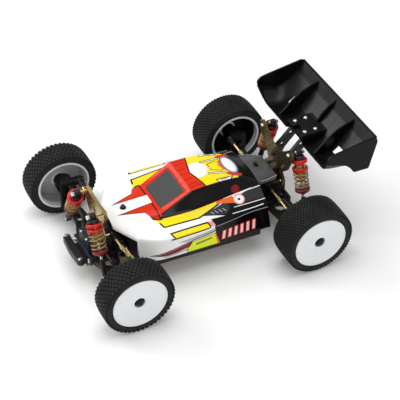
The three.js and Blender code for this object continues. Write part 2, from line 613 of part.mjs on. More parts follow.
function wingGeometry() {
  const half = [25, WING_CURL_START, 54, 57, 60, 62.5, WING_HALF];
  const stations = [...half.map((y) => -y).reverse(), 0, ...half];
  const curl = (y) => Math.max(0, (Math.abs(y) - WING_CURL_START) / (WING_HALF - WING_CURL_START)) ** 2;
  const surface = (y) => WING_CHORD.map(([x, z], i) => [
    x + (WING_END[i][0] - x) * curl(y), z + (WING_END[i][1] - z) * curl(y),
  ]);
  const skin = (line, y) => line.map(([x, z]) => [x, y, z]);
  const main = skinned(
    stations.map((y) => skin(surface(y), y)),
    stations.map((y) => skin(offset(surface(y), -WING_THICKNESS), y)),
  );
  const fin = [
    [-107, 97.6], [-110, 100.5], [-116, 102], [-154, 108], [-156.6, 106], [WING_REAR_X, 102],
    [-151, 74], [-135.5, 74.6], [-132, 80], [-127, 85], [-120, 88.4], [-112, 90.6], [-106.6, 93.6],
  ];
  const ends = [1, -1].map((s) => plate(fin, 'xz', s * WING_HALF - 1, s * WING_HALF + 1));
  const rib = [
    [-155.4, 105.2], [-146, 102.6], [-136, 98.6], [-127, 92.4], [-119.5, 84.5], [-113.5, 79],
    [-117, 76.6], [-124, 76.2], [-131, 79], [-137, 84], [-144, 91.5], [-151, 99.5],
  ];
  const ribs = [-32, 32].map((y) => plate(rib, 'xz', y - 0.8, y + 0.8));
  const shortRib = plate(
    [
      [-155.4, 105.2], [-146, 101], [-139, 94], [-134, 85.4], [-133.4, 83.2], [-137, 83.6],
      [-144, 91.5], [-151, 99.5],
    ],
    'xz', -0.8, 0.8,
  );
  const platform = plate(
    [[-111, 84.2], [-111.6, 86], [-133, 86], [-137.6, 85.6], [-136, 83], [-131, 82.6], [-113, 82.6]],
    'xz', -14, 14,
  );
  const sides = [1, -1].map((s) => plate(
    [[-111, 84.6], [-112, 77.4], [-124, 76], [-131, 78.6], [-137, 84.6]], 'xz', s * 14 - 1, s * 14 + 1,
  ));
  const under = box([-131, -13, 70], [-105, 13, 82.5]);
  const slots = [1, -1].map((s) => box([-130.5, s * 41 - 4.5, 70], [-127, s * 41 + 4.5, 90]));
  return cut(join(cut(main, under), ...ends, ...ribs, shortRib, platform, ...sides), ...slots);
}

function wingMount() {
  const arm = [
    [-95, 48], [-95, 62], [-104, 70.5], [-112, 79.6], [-112, 82.2], [-130.4, 82.2], [-130.4, 80.2],
    [-124, 79.6], [-116, 70], [-107, 60], [-101, 48],
  ];
  const holes = [[-104.5, 64, 2.2], [-113, 74.5, 2.4]];
  const arms = [1, -1].map((s) => plate(arm, 'xz', s * 9.5 - 1.5, s * 9.5 + 1.5, holes));
  const base = box([-97.6, -11, 48], [-95, 11, 58]);
  const top = box([-130.4, -11, 79.8], [-112, 11, 82.2]);
  return piece('wing_mount', join(...arms, base, top), blackPlastic);
}

// ---------------------------------------------------------------- body shell
// Each station is x and the left half of the outer profile as [y, z]: centreline, centre panel edge, roof edge,
// window base, shoulder, outer top edge, side crease and lower edge.
const SHELL = [
  [77, [0, 52.5], [5, 52.6], [9, 52], [11, 51], [12.5, 50], [13.5, 49], [13.8, 47.8], [13.8, 46.6]],
  [70, [0, 53.4], [6.5, 53.5], [12, 52.8], [16, 51.3], [21, 50], [25, 48.3], [25.8, 47], [26, 45.8]],
  [62.6, [0, 54], [7.5, 54], [14, 53.2], [19, 51.3], [30, 50.2], [37, 47.5], [38.2, 46.2], [38.4, 45]],
  [
    62, [0, 54.1], [7.6, 54], [14.1, 53.2], [19.1, 51.3], [30.3, 50.2], [37.4, 47.5], [38.5, 27],
    [38.4, 25],
  ],
  [50, [0, 54.6], [9, 54.5], [17, 53.4], [21, 50.9], [36, 50.3], [45.8, 47.8], [47.2, 27], [47.3, 25]],
  [41, [0, 55], [10, 54.9], [20.5, 52.8], [22.6, 50.5], [41, 50.3], [48.5, 47.6], [48.4, 27.4], [48, 25]],
  [33, [0, 55.3], [17.3, 55], [22, 54], [25, 50.7], [43, 50.2], [49.7, 47.5], [49, 28.6], [48.4, 25]],
  [20, [0, 62], [18, 61.8], [22.3, 61.6], [27, 51.6], [43.5, 50], [49.7, 47.4], [49.3, 30.6], [48.7, 25]],
  [
    7.5, [0, 68.7], [18.4, 68.4], [22.2, 68.8], [28.5, 52.5], [43.5, 49.8], [49.6, 47.2], [49.3, 33],
    [49, 25],
  ],
  [
    4, [0, 70.8], [18.6, 70.6], [22.2, 70.4], [28.7, 52.8], [43.4, 49.8], [49.5, 47.1], [49.3, 33.6],
    [49.1, 25],
  ],
  [-10, [0, 72.2], [17, 72], [21.8, 71], [28.5, 53.6], [42, 49.6], [48.6, 46.8], [48.6, 36], [49.5, 25]],
  [
    -25, [0, 71], [15, 70.7], [20.3, 69.5], [27.6, 54.6], [40, 49.2], [46.5, 46.2], [46.9, 38.6],
    [49.9, 25],
  ],
  [-36, [0, 69], [13, 68.6], [19, 67.6], [27, 55.4], [39, 49], [44.5, 45.8], [45, 40.6], [50, 25]],
  [-47, [0, 66.5], [11.5, 66], [17.8, 65.3], [26.5, 56], [38.5, 49], [43, 45.6], [43.6, 42.6], [50, 25]],
  [
    -56, [0, 62.6], [10.5, 62.2], [17.2, 61.2], [26.2, 56.4], [38.3, 49], [42.6, 45.6], [43, 44],
    [50.2, 25],
  ],
  [
    -62.4, [0, 59.6], [11, 59.2], [17.6, 58], [26, 56.7], [38.3, 49], [42.5, 45.6], [43, 44.5],
    [50.2, 25],
  ],
  [
    -63, [0, 59.3], [10.8, 58.9], [16.6, 57.9], [20, 56.6], [20.8, 55.6], [21, 54.2], [21.1, 52.6],
    [21.2, 51],
  ],
  [-72, [0, 56.2], [9, 56], [15, 55.4], [18.6, 54.4], [19.6, 53.4], [20, 52.2], [20, 51], [20, 49.8]],
  [-86, [0, 52.6], [8, 52.4], [12.5, 51.9], [14.8, 51.1], [15.6, 50.4], [16, 49.2], [16, 48.2], [16, 47]],
];
const FRONT_POST_X = 60.4;
const REAR_POST_X = -72;

function shellGeometry() {
  const whole = (half) => [...half.slice(1).reverse().map(([y, z]) => [-y, z]), ...half];
  const section = ([x, ...half]) => whole(half).map(([y, z]) => [x, y, z]);
  const inside = ([x, ...half]) => offset(whole(half), SHELL_THICKNESS).map(([y, z]) => [x, y, z]);
  const hull = skinned(SHELL.map(section), SHELL.map(inside));
  const holes = [FRONT_POST_X, REAR_POST_X].map((x) => rod([x, 0, 45], [x, 0, 65], 2.4, 14));
  return cut(hull, ...holes);
}

// ---------------------------------------------------------------- assembly
function corner(side) {
  const group = new THREE.Group();
  if (side === 'right') group.scale.y = -1;
  group.add(
    lowerArm(`front_arm_${side}`, 1, FRONT_ARM, ARM_HOLES),
    lowerArm(`rear_arm_${side}`, -1, REAR_ARM, ARM_HOLES),
    piece(`front_hub_carrier_${side}`, frontHubCarrier(), blackPlastic),
    piece(`front_knuckle_${side}`, frontKnuckle(), blackPlastic),
    piece(`rear_hub_carrier_${side}`, rearHubCarrier(), blackPlastic),
    piece(
      `front_camber_link_${side}`,
      link(AXLE_X - 9.9, [LINK_INNER_Y, LINK_Z], [LINK_OUTER_Y, FRONT_LINK_OUTER_Z]), gold,
    ),
    piece(
      `rear_camber_link_${side}`, link(-AXLE_X + 9.9, [LINK_INNER_Y, LINK_Z], [LINK_OUTER_Y, LINK_Z]),
      gold,
    ),
    piece(`tie_rod_${side}`, tieRod(), gold),
    piece(`front_drive_shaft_${side}`, driveShaft(AXLE_X, 63), blackSteel),
    piece(`rear_drive_shaft_${side}`, driveShaft(-AXLE_X, 58.6), blackSteel),
    shockGroup('front', side, FRONT_SHOCK),
    shockGroup('rear', side, REAR_SHOCK),
    wheel('front', side, AXLE_X, FRONT_WHEEL_Y, FRONT_TYRE_WIDTH),
    wheel('rear', side, -AXLE_X, REAR_WHEEL_Y, REAR_TYRE_WIDTH),
  );
  return group;
}

const buggy = new THREE.Group();
buggy.position.x = CENTRE_SHIFT;
buggy.add(
  chassisPlate(),
  chassisGuard(),
  gearbox('front_gearbox', 1, FRONT_POST_X, 56.8),
  gearbox('rear_gearbox', -1, REAR_POST_X, 59),
  frontTower(),
  rearTower(),
  frontBumper(),
  motor(),
  centreShaft(),
  servo(),
  servoHorn(),
  speedController(),
  motorPinion(),
  batteryPack(),
  steeringPlate(),
  wingMount(),
  piece('rear_wing', wingGeometry(), blackPlastic),
  piece('body_shell', shellGeometry(), shellPaint),
  corner('left'),
  corner('right'),
);

export default buggy;
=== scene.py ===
"""The looks of the model buggy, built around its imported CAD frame.

Shapes are given in millimetres: x forward from the middle of the wheelbase, y to the car's left,
z up from the ground.
"""
import math

import bmesh
import bpy
from mathutils import Matrix, Vector


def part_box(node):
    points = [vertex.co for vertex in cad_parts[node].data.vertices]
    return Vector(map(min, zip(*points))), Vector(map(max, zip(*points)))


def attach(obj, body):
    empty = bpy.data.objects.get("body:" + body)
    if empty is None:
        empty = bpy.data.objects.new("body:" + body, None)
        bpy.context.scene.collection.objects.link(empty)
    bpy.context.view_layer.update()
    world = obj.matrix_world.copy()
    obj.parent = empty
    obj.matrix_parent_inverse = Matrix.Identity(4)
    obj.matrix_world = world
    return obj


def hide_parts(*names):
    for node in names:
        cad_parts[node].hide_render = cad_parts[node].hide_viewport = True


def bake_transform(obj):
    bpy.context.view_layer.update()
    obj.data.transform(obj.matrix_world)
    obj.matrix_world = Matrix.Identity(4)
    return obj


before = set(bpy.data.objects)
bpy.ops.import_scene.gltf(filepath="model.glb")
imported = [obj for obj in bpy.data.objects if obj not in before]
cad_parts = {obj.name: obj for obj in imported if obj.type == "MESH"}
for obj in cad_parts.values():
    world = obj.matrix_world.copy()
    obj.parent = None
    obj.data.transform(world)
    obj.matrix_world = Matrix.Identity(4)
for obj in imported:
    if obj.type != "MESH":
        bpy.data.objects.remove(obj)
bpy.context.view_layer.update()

SIDES = {"left": 1, "right": -1}
ENDS = {"front": 1, "rear": -1}


def middle(node):
    low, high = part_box(node)
    return (low + high) / 2 * 1000


FRONT_HUB = middle("front_tyre_left")
REAR_HUB = middle("rear_tyre_left")
MID_X = (FRONT_HUB.x + REAR_HUB.x) / 2
AXLE_X = (FRONT_HUB.x - REAR_HUB.x) / 2
TYRE_RADIUS = FRONT_HUB.z
HALF_WIDTH = {end: (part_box(f"{end}_tyre_left")[1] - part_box(f"{end}_tyre_left")[0]).y * 500 for end in ENDS}
WHEEL_Y = {"front": FRONT_HUB.y, "rear": REAR_HUB.y}

ARM_PIVOT = (15.5, 19)
SHOCKS = {
    "front": {"top": (17, 71), "foot": (43, 21), "x": AXLE_X + 9, "seat": 30.5,
              "collars": ((5.9, 9.0), (10.6, 13.6))},
    "rear": {"top": (24.5, 78.5), "foot": (44.5, 21), "x": -AXLE_X - 14.5, "seat": 35,
             "collars": ((5.9, 9.6), (13.8, 17.4))},
}


# ---------------------------------------------------------------- materials
class Nodes:
    """A material's node tree, with short calls for what every material here needs."""

    def __init__(self, name):
        self.material = bpy.data.materials.new(name)
        self.material.use_nodes = True
        self.tree = self.material.node_tree
        self.shader = self.tree.nodes["Principled BSDF"]
        self.place = self.tree.nodes.new("ShaderNodeTexCoord").outputs["Object"]

    def add(self, kind, *inputs, **settings):
        node = self.tree.nodes.new("ShaderNode" + kind)
        for key, value in settings.items():
            setattr(node, key, value)
        for socket, value in zip(node.inputs, inputs):
            if isinstance(value, bpy.types.NodeSocket):
                self.tree.links.new(value, socket)
            elif value is not None:
                socket.default_value = value
        return node.outputs[0]

    def math(self, operation, *inputs):
        return self.add("Math", *inputs, operation=operation)

    def noise(self, scale, detail=3.0):
        return self.add("TexNoise", self.place, None, scale, detail)

    def mix(self, factor, a, b):
        node = self.tree.nodes.new("ShaderNodeMix")
        node.data_type = "RGBA"
        for socket, value in ((node.inputs[0], factor), (node.inputs[6], a), (node.inputs[7], b)):
            if isinstance(value, bpy.types.NodeSocket):
                self.tree.links.new(value, socket)
            else:
                socket.default_value = value if socket is node.inputs[0] else (*value[:3], 1)
        return node.outputs[2]

    def between(self, value, low, high):
        return self.add("MapRange", value, 0.25, 0.75, low, high)

    def bump(self, height, strength, depth):
        node = self.tree.nodes.new("ShaderNodeBump")
        node.inputs["Strength"].default_value = strength
        node.inputs["Distance"].default_value = depth
        self.tree.links.new(height, node.inputs["Height"])
        self.tree.links.new(node.outputs[0], self.shader.inputs["Normal"])

    def set(self, **values):
        for key, value in values.items():
            socket = self.shader.inputs[key.replace("_", " ")]
            if isinstance(value, bpy.types.NodeSocket):
                self.tree.links.new(value, socket)
            else:
                socket.default_value = (*value, 1) if isinstance(value, tuple) else value


def plain(name, color, rough, metal=0.0, vary=0.12, grain=900, bump=0.15, coat=0.0, shine=0.5):
    """Two tints of a colour mixed by fine and broad noise, with grain in its gloss and surface."""
    n = Nodes(name)
    fine = n.noise(grain)
    broad = n.noise(grain / 18, 2)
    blend = n.math("MULTIPLY_ADD", fine, 0.45, n.math("MULTIPLY", broad, 0.55))
    dark = tuple(c * (1 - vary) for c in color)
    light = tuple(min(1, c * (1 + vary)) for c in color)
    n.set(Base_Color=n.mix(n.between(blend, 0, 1), dark, light))
    n.set(Roughness=n.between(blend, rough - 0.06, rough + 0.07), Metallic=metal)
    n.set(Coat_Weight=coat, Coat_Roughness=0.08, Specular_IOR_Level=shine)
    n.bump(fine, bump, 0.0002)
    return n.material


def anodised(name, color, rough=0.3):
    """Sheet metal with fine brushed lines along x under a coloured skin."""
    n = Nodes(name)
    stretched = n.add("VectorMath", n.place, (60, 900, 900), operation="MULTIPLY")
    lines = n.add("TexNoise", stretched, None, 1.0, 3.0)
    broad = n.noise(45, 2)
    dark = tuple(c * 0.86 for c in color)
    light = tuple(min(1, c * 1.1) for c in color)
    tint = n.mix(n.between(broad, 0, 1), dark, light)
    n.set(Base_Color=tint, Metallic=0.9, Roughness=n.between(lines, rough - 0.07, rough + 0.1))
    n.bump(lines, 0.12, 0.0001)
    return n.material


def rubber_material(name):
    """Soft black rubber, dustier in broad random patches."""
    n = Nodes(name)
    fine = n.noise(2600)
    broad = n.noise(70, 4)
    tint = n.mix(n.between(broad, 0, 1), (0.006, 0.006, 0.0065), (0.017, 0.017, 0.018))
    n.set(Base_Color=tint, Roughness=n.between(fine, 0.62, 0.86), Specular_IOR_Level=0.22)
    n.bump(fine, 0.35, 0.00015)
    return n.material


BLACK = (0.002, 0.002, 0.0025)
WHITE = (0.88, 0.88, 0.87)
RED = (0.66, 0.022, 0.001)
DEEP_RED = (0.22, 0.008, 0.010)
YELLOW = (0.93, 0.72, 0.008)
LIME = (0.72, 0.82, 0.015)
ORANGE = (0.86, 0.13, 0.004)
PINK = (0.84, 0.30, 0.30)
GREY = (0.030, 0.032, 0.032)
LILAC = (0.42, 0.40, 0.45)
NAVY = (0.02, 0.05, 0.12)
OLIVE = (0.2, 0.24, 0.05)
PALE_PINK = (0.86, 0.62, 0.62)


class Livery(Nodes):
    """Glossy paint in layers. A shape is a convex outline in plan (x, |y|) or in side view (x, z)."""

    def __init__(self, name, view, base):
        super().__init__(name)
        millimetres = self.add("VectorMath", self.place, (1000, 1000, 1000), operation="MULTIPLY")
        centred = self.add("VectorMath", millimetres, (MID_X, 0, 0), operation="SUBTRACT")
        split = self.tree.nodes.new("ShaderNodeSeparateXYZ")
        self.tree.links.new(centred, split.inputs[0])
        across = self.math("ABSOLUTE", split.outputs[1]) if view == "plan" else split.outputs[2]
        self.point = self.add("CombineXYZ", split.outputs[0], across, 1.0)
        self.color = (*base, 1)

    def outline(self, points):
        """How far inside a convex outline a point lies, in millimetres."""
        turn = sum(a[0] * b[1] - a[1] * b[0] for a, b in zip(points, points[1:] + points[:1]))
        ordered = points if turn > 0 else points[::-1]
        corners = zip(ordered[-1:] + ordered, ordered, ordered[1:] + ordered[:1])
        if any((b[0] - a[0]) * (c[1] - b[1]) < (b[1] - a[1]) * (c[0] - b[0]) - 1e-6 for a, b, c in corners):
            raise ValueError(f"this outline isn't convex: {points}")
        inside = None
        for (ax, ay), (bx, by) in zip(ordered, ordered[1:] + ordered[:1]):
            length = math.hypot(bx - ax, by - ay)
            nx, ny = (ay - by) / length, (bx - ax) / length
            dot = self.tree.nodes.new("ShaderNodeVectorMath")
            dot.operation = "DOT_PRODUCT"
            self.tree.links.new(self.point, dot.inputs[0])
            dot.inputs[1].default_value = (nx, ny, -(nx * ax + ny * ay))
            edge = dot.outputs["Value"]
            inside = edge if inside is None else self.math("MINIMUM", inside, edge)
        return inside

    def ellipse(self, centre, radii):
        moved = self.add("VectorMath", self.point, (*centre, 1), operation="SUBTRACT")
        scaled = self.add("VectorMath", moved, (1 / radii[0], 1 / radii[1], 1), operation="MULTIPLY")
        length = self.tree.nodes.new("ShaderNodeVectorMath")
        length.operation = "LENGTH"
        self.tree.links.new(scaled, length.inputs[0])
        return self.math("MULTIPLY", self.math("SUBTRACT", 1.0, length.outputs["Value"]), min(radii))

    def splash(self, distance, size, scale):
        """A ragged edge: the distance is shifted by noise."""
        shift = self.math("MULTIPLY", self.math("SUBTRACT", self.noise(scale, 4), 0.5), size)
        return self.math("ADD", distance, shift)

    def fill(self, distance, color, line=0.0, line_color=BLACK):
        if line:
            self.color = self.mix(self.math("GREATER_THAN", distance, 0.0), self.color, line_color)
        self.color = self.mix(self.math("GREATER_THAN", distance, line), self.color, color)

    def done(self, rough=0.16):
        haze = self.noise(300, 2)
        self.color = self.mix(self.math("MULTIPLY", haze, 0.08), self.color, BLACK)
        self.set(Base_Color=self.color, Roughness=self.between(haze, rough - 0.03, rough + 0.05))
        self.set(Specular_IOR_Level=0.2)
        self.bump(self.noise(120, 2), 0.06, 0.0003)
        return self.material


def pod_paint(n):
    """Side pods, from the outer strips in to the window line."""
    n.fill(n.outline([(35.6, 43.9), (33, 51), (-4, 51), (-1.6, 43.9)]), YELLOW, 1.5)
    n.fill(n.outline([(-1.6, 44.2), (-4, 51), (-8, 51), (-6, 44.2)]), PINK)
    n.fill(n.outline([(-5.4, 42.6), (-8, 51), (-70, 51), (-70, 42.6)]), BLACK)
    n.fill(n.outline([(1, 37.2), (-24, 31), (-70, 25), (-70, 43.2), (-22, 43.2)]), BLACK)
    n.fill(n.outline([(40.4, 22), (37.4, 36.4), (4, 38.9), (-4, 36.5), (-22, 30.6), (-22, 22)]), YELLOW, 1.6)
    n.fill(n.outline([(40.4, 21), (38.9, 29), (20, 30), (-22, 28.6), (-22, 21)]), YELLOW)
    vent = n.outline([(-3, 37.2), (-14, 33.4), (-26, 32.4), (-27, 37), (-22, 41), (-10, 40)])
    n.fill(vent, GREY, 0.4, NAVY)
    n.fill(n.outline([(-19, 25), (-17, 30.2), (-34, 34.2), (-34, 25)]), ORANGE)
    n.fill(n.outline([(-42, 28.6), (-62.4, 25), (-62.4, 36.6), (-40, 36)]), GREY)
    # A thin white line along the window base: a painted highlight on that edge.
    n.fill(n.outline([(-25, 27.4), (-25, 28), (-63, 27.2), (-63, 26.6)]), WHITE)
    n.fill(n.outline([(-31, 37.2), (-31, 37.8), (-63, 38), (-63, 37.4)]), WHITE)
    n.fill(n.outline([(-27, 42.2), (-27, 42.8), (-59, 41.5), (-59, 40.9)]), WHITE)
    for radii, color in (((5.4, 4.4), PINK), ((4.4, 3.4), WHITE), ((1.3, 1.0), BLACK)):
        n.fill(n.ellipse((-38.6, 32.2), radii), color)
    for start in (-8, -12, -16, -20):
        n.fill(n.outline([(start, 35.6), (start - 2, 38.6), (start - 3, 38.6), (start - 1, 35.6)]), LILAC)


def roof_paint(n):
    n.fill(n.outline([(-3, -1), (-3, 23.4), (-63.5, 23.4), (-63.5, -1)]), YELLOW)
    n.fill(n.outline([(-18.6, 7.2), (-19.2, 9.8), (-39, 12), (-38, 9)]), WHITE, 0.8)
    n.fill(n.outline([(-24, -1), (-24, 4.6), (-34, 7.6), (-38, 4), (-38, -1)]), YELLOW, 0.8)
    n.fill(n.outline([(-33, -1), (-36, 6.6), (-41, 9), (-41, -1)]), ORANGE)
    n.fill(n.outline([(-22, 17.4), (-25, 22.6), (-37, 20), (-41, 15.6)]), WHITE, 0.9)
    n.fill(n.outline([(-26, 18.2), (-27, 19.6), (-34, 18.4), (-36, 16.8)]), LILAC)
    n.fill(n.outline([(-50, -1), (-43.4, 24), (-64, 24), (-64, -1)]), BLACK)
    n.fill(n.outline([(-35, 12.6), (-38, 10.4), (-51, 13.4), (-48, 17), (-41, 15.8)]), RED)
    for radii, color in (((7.6, 13.2), NAVY), ((6.6, 12.2), LILAC), ((5.2, 10.4), WHITE)):
        n.fill(n.ellipse((-44.3, 0), radii), color)
    n.fill(n.splash(n.ellipse((-13, 0), (9.6, 10.8)), 12.0, 380), PINK)
    n.fill(n.splash(n.ellipse((-13, 0), (9.1, 10.3)), 12.0, 380), WHITE)


def screen_paint(n):
    """The windscreen's frame, its forward tips and the band behind it, whose grooves are drawn as dark red
    lines of painted shade.
    """
    n.fill(n.outline([(46.6, 13), (41.6, 23), (36.4, 26), (33, 26), (33, 5.6)]), RED, 1.5)
    n.fill(n.outline([(69.5, 7.1), (46.2, 14.2), (33, 14.2), (33, 5.5)]), BLACK)
    n.fill(n.outline([(65, 7.6), (46.8, 13.2), (33, 13.2), (33, 6.3)]), RED)
    n.fill(n.outline([(47, 13), (41, 22), (33, 22), (33, 6.3)]), RED)
    n.fill(n.outline([(36, -1), (36, 24.6), (-11.6, 24.6), (-5, -1)]), RED, 1.2)
    n.fill(n.outline([(38, -1), (38, 5.6), (34.8, 5.6), (34.8, -1)]), WHITE)
    # Dark red lines for the band's grooves: painted shade, with no grooves in the shell.
    for y, front, back in ((7, 4, -3.4), (14.5, 3.4, -5.6), (18.2, 3, -8)):
        n.fill(n.outline([(front, y - 0.4), (front, y + 0.4), (back, y + 0.4), (back, y - 0.4)]), DEEP_RED)


def plan_paint():
    n = Livery("shell_paint_top", "plan", WHITE)
    pod_paint(n)
    roof_paint(n)
    screen_paint(n)
    return n.done()


def skirt_paint():
    n = Livery("shell_paint_skirt", "side", WHITE)
    n.fill(n.outline([(30, 40.6), (-6, 43.6), (-6, 41.4), (22, 38.6)]), LILAC)
    n.fill(n.outline([(36, 45.4), (36, 49), (-2.4, 49), (-2.4, 45.4)]), YELLOW, 1.4)
    n.fill(n.outline([(54, 29.2), (54, 30.2), (16, 38.8), (16, 37.6)]), BLACK)
    n.fill(n.outline([(16, 37.6), (16, 38.8), (-8, 41.2), (-8, 39.6)]), BLACK)
    n.fill(n.outline([(52, 29.4), (16, 37.4), (16, 32), (38, 28)]), DEEP_RED)
    n.fill(n.outline([(45, 27.6), (16, 31), (16, 28.4), (42, 26.2)]), LILAC)
    n.fill(n.outline([(21, 29.4), (19.8, 24), (-12, 24), (-9, 38.4), (15.6, 37)]), LIME, 0.7)
    n.fill(n.outline([(-6.4, 38.2), (-9.4, 24), (-12, 24), (-9, 38.4)]), ORANGE)
    n.fill(n.outline([(-6.6, 41), (-6.6, 49), (-66, 49), (-66, 24), (-12, 24)]), BLACK)
    n.fill(n.outline([(-8, 44.6), (-8, 45.2), (-64, 43.6), (-64, 43)]), LILAC)
    for index in range(6):
        x = -13 - 6.1 * index
        bar = n.outline([(x, 27.6), (x - 4.1, 27.6), (x - 5.8, 36.8), (x - 1.7, 36.8)])
        n.fill(bar, RED)
        n.fill(n.math("SUBTRACT", bar, 0.8), PALE_PINK)
    n.fill(n.outline([(12, 31), (12.4, 33.4), (-4, 34.8), (-4, 32.6)]), OLIVE)
    return n.done()


def side_window_paint():
    n = Livery("side_windows", "side", BLACK)
    n.fill(n.ellipse((-38.5, 58.8), (4.2, 3.0)), DEEP_RED)
    return n.done(0.12)


def glass_material():
    n = Nodes("windscreen_glass")
    streak = n.noise(40, 2)
    n.set(Base_Color=n.mix(n.between(streak, 0, 1), (0.010, 0.014, 0.012), (0.026, 0.032, 0.029)))
    n.set(Roughness=n.between(streak, 0.2, 0.3), Specular_IOR_Level=0.16)
    return n.material


def wing_plastic():
    """Black moulded plastic that is duller outside the panels between the ribs and the curls' inner faces; the
    panels are painted lighter as well, a painted reflection of the light on those slopes.
    """
    n = Livery("wing_plastic", "plan", BLACK)
    inside = None
    for front, back, near, far in ((-134, -148.6, 2, 30), (-134, -148.6, 34, 62), (-112, -134, 48, 62)):
        panel = n.outline([(front, near), (front, far), (back, far), (back, near)])
        inside = panel if inside is None else n.math("MAXIMUM", inside, panel)
    share = n.add("MapRange", inside, -0.6, 0.6, 0, 1)
    fine = n.noise(2600)
    # The lighter colour inside the panels is a painted reflection.
    n.set(Base_Color=n.mix(share, (0.0025, 0.0025, 0.0027), (0.007, 0.007, 0.0074)))
    n.set(Specular_IOR_Level=n.math("MULTIPLY_ADD", share, 0.14, 0.12), Roughness=n.between(fine, 0.3, 0.42))
    n.bump(fine, 0.15, 0.0002)
    return n.material


GOLD = anodised("gold_anodised", (0.36, 0.27, 0.10), 0.26)
# The rear shock tower's gold, darkened as painted shade: the same anodised gold as the front tower, as it
# looks in shade.
GOLD_PAINTED_SHADE = anodised("gold_anodised_painted_shade", (0.12, 0.085, 0.03), 0.24)
BRIGHT_GOLD = plain("gold_turned", (0.58, 0.44, 0.19), 0.24, 0.95, grain=1500)
STEEL = plain("bare_steel", (0.66, 0.65, 0.64), 0.25, 1.0, vary=0.08, grain=1400, bump=0.08)
BLACK_STEEL = plain("blackened_steel", (0.012, 0.012, 0.013), 0.34, 0.5, grain=1400, shine=0.3)
PLASTIC = plain("black_nylon", (0.005, 0.005, 0.0055), 0.4, grain=2200, bump=0.3, shine=0.3)
WING_PLASTIC = wing_plastic()
BLUE_GREY = plain("front_housing", (0.018, 0.024, 0.038), 0.4, grain=2200, bump=0.3, shine=0.35)
RUBBER = rubber_material("tyre_rubber")
RIM_WHITE = plain("rim_white", (0.70, 0.72, 0.73), 0.3, vary=0.03, grain=700, bump=0.05)
# The inside of the white rims, grey at the front and near black at the rear: painted shade.
RIM_INSIDE_PAINTED_SHADE = {
    "front": plain("rim_inside_front", (0.42, 0.43, 0.44), 0.45, grain=900, shine=0.4),
    "rear": plain("rim_inside_rear", (0.010, 0.010, 0.011), 0.5, grain=900, shine=0.25),
}
RED_METAL = plain("red_anodised", (0.52, 0.007, 0.006), 0.3, 0.3, grain=1500, shine=0.4)
DARK_RED = plain("dark_red_cup", (0.20, 0.006, 0.010), 0.34, 0.2, grain=1500)
SPRING_TAN = plain("spring_coating", (0.30, 0.20, 0.080), 0.3, 0.6, grain=1500)
BATTERY_WRAP = plain("battery_wrap", (0.02, 0.045, 0.13), 0.35, grain=500, coat=0.3)
MOTOR_CAN = anodised("motor_can", (0.03, 0.03, 0.033), 0.32)
TAIL_GREY = plain("tail_cover_grey", (0.068, 0.072, 0.080), 0.28, vary=0.06, grain=1200, shine=0.4)
TAIL_RIM = plain("tail_rim", (0.30, 0.30, 0.32), 0.3, grain=1200)


# ---------------------------------------------------------------- shapes
def metres(point):
    return ((point.x + MID_X) / 1000, point.y / 1000, point.z / 1000)


def hexagon(radius):
    return [(radius * math.cos(math.pi / 3 * k), radius * math.sin(math.pi / 3 * k)) for k in range(6)]


def from_face(half, points):
    """Turns (radius, depth below the outer face) into (radius, height) for a wheel of a given half width."""
    return [(radius, half - depth) for radius, depth in points]


def from_back(half, points):
    return [(radius, depth - half) for radius, depth in points]


def facing(origin, axis, sideways=None):
    """A place whose local z runs along axis."""
    z = Vector(axis).normalized()
    x = Vector(sideways) if sideways else (Vector((1, 0, 0)) if abs(z.x) < 0.9 else Vector((0, 1, 0)))
    y = z.cross(x).normalized()
    x = y.cross(z)
    place = Matrix((x, y, z)).transposed().to_4x4()
    place.translation = Vector(origin)
    return place


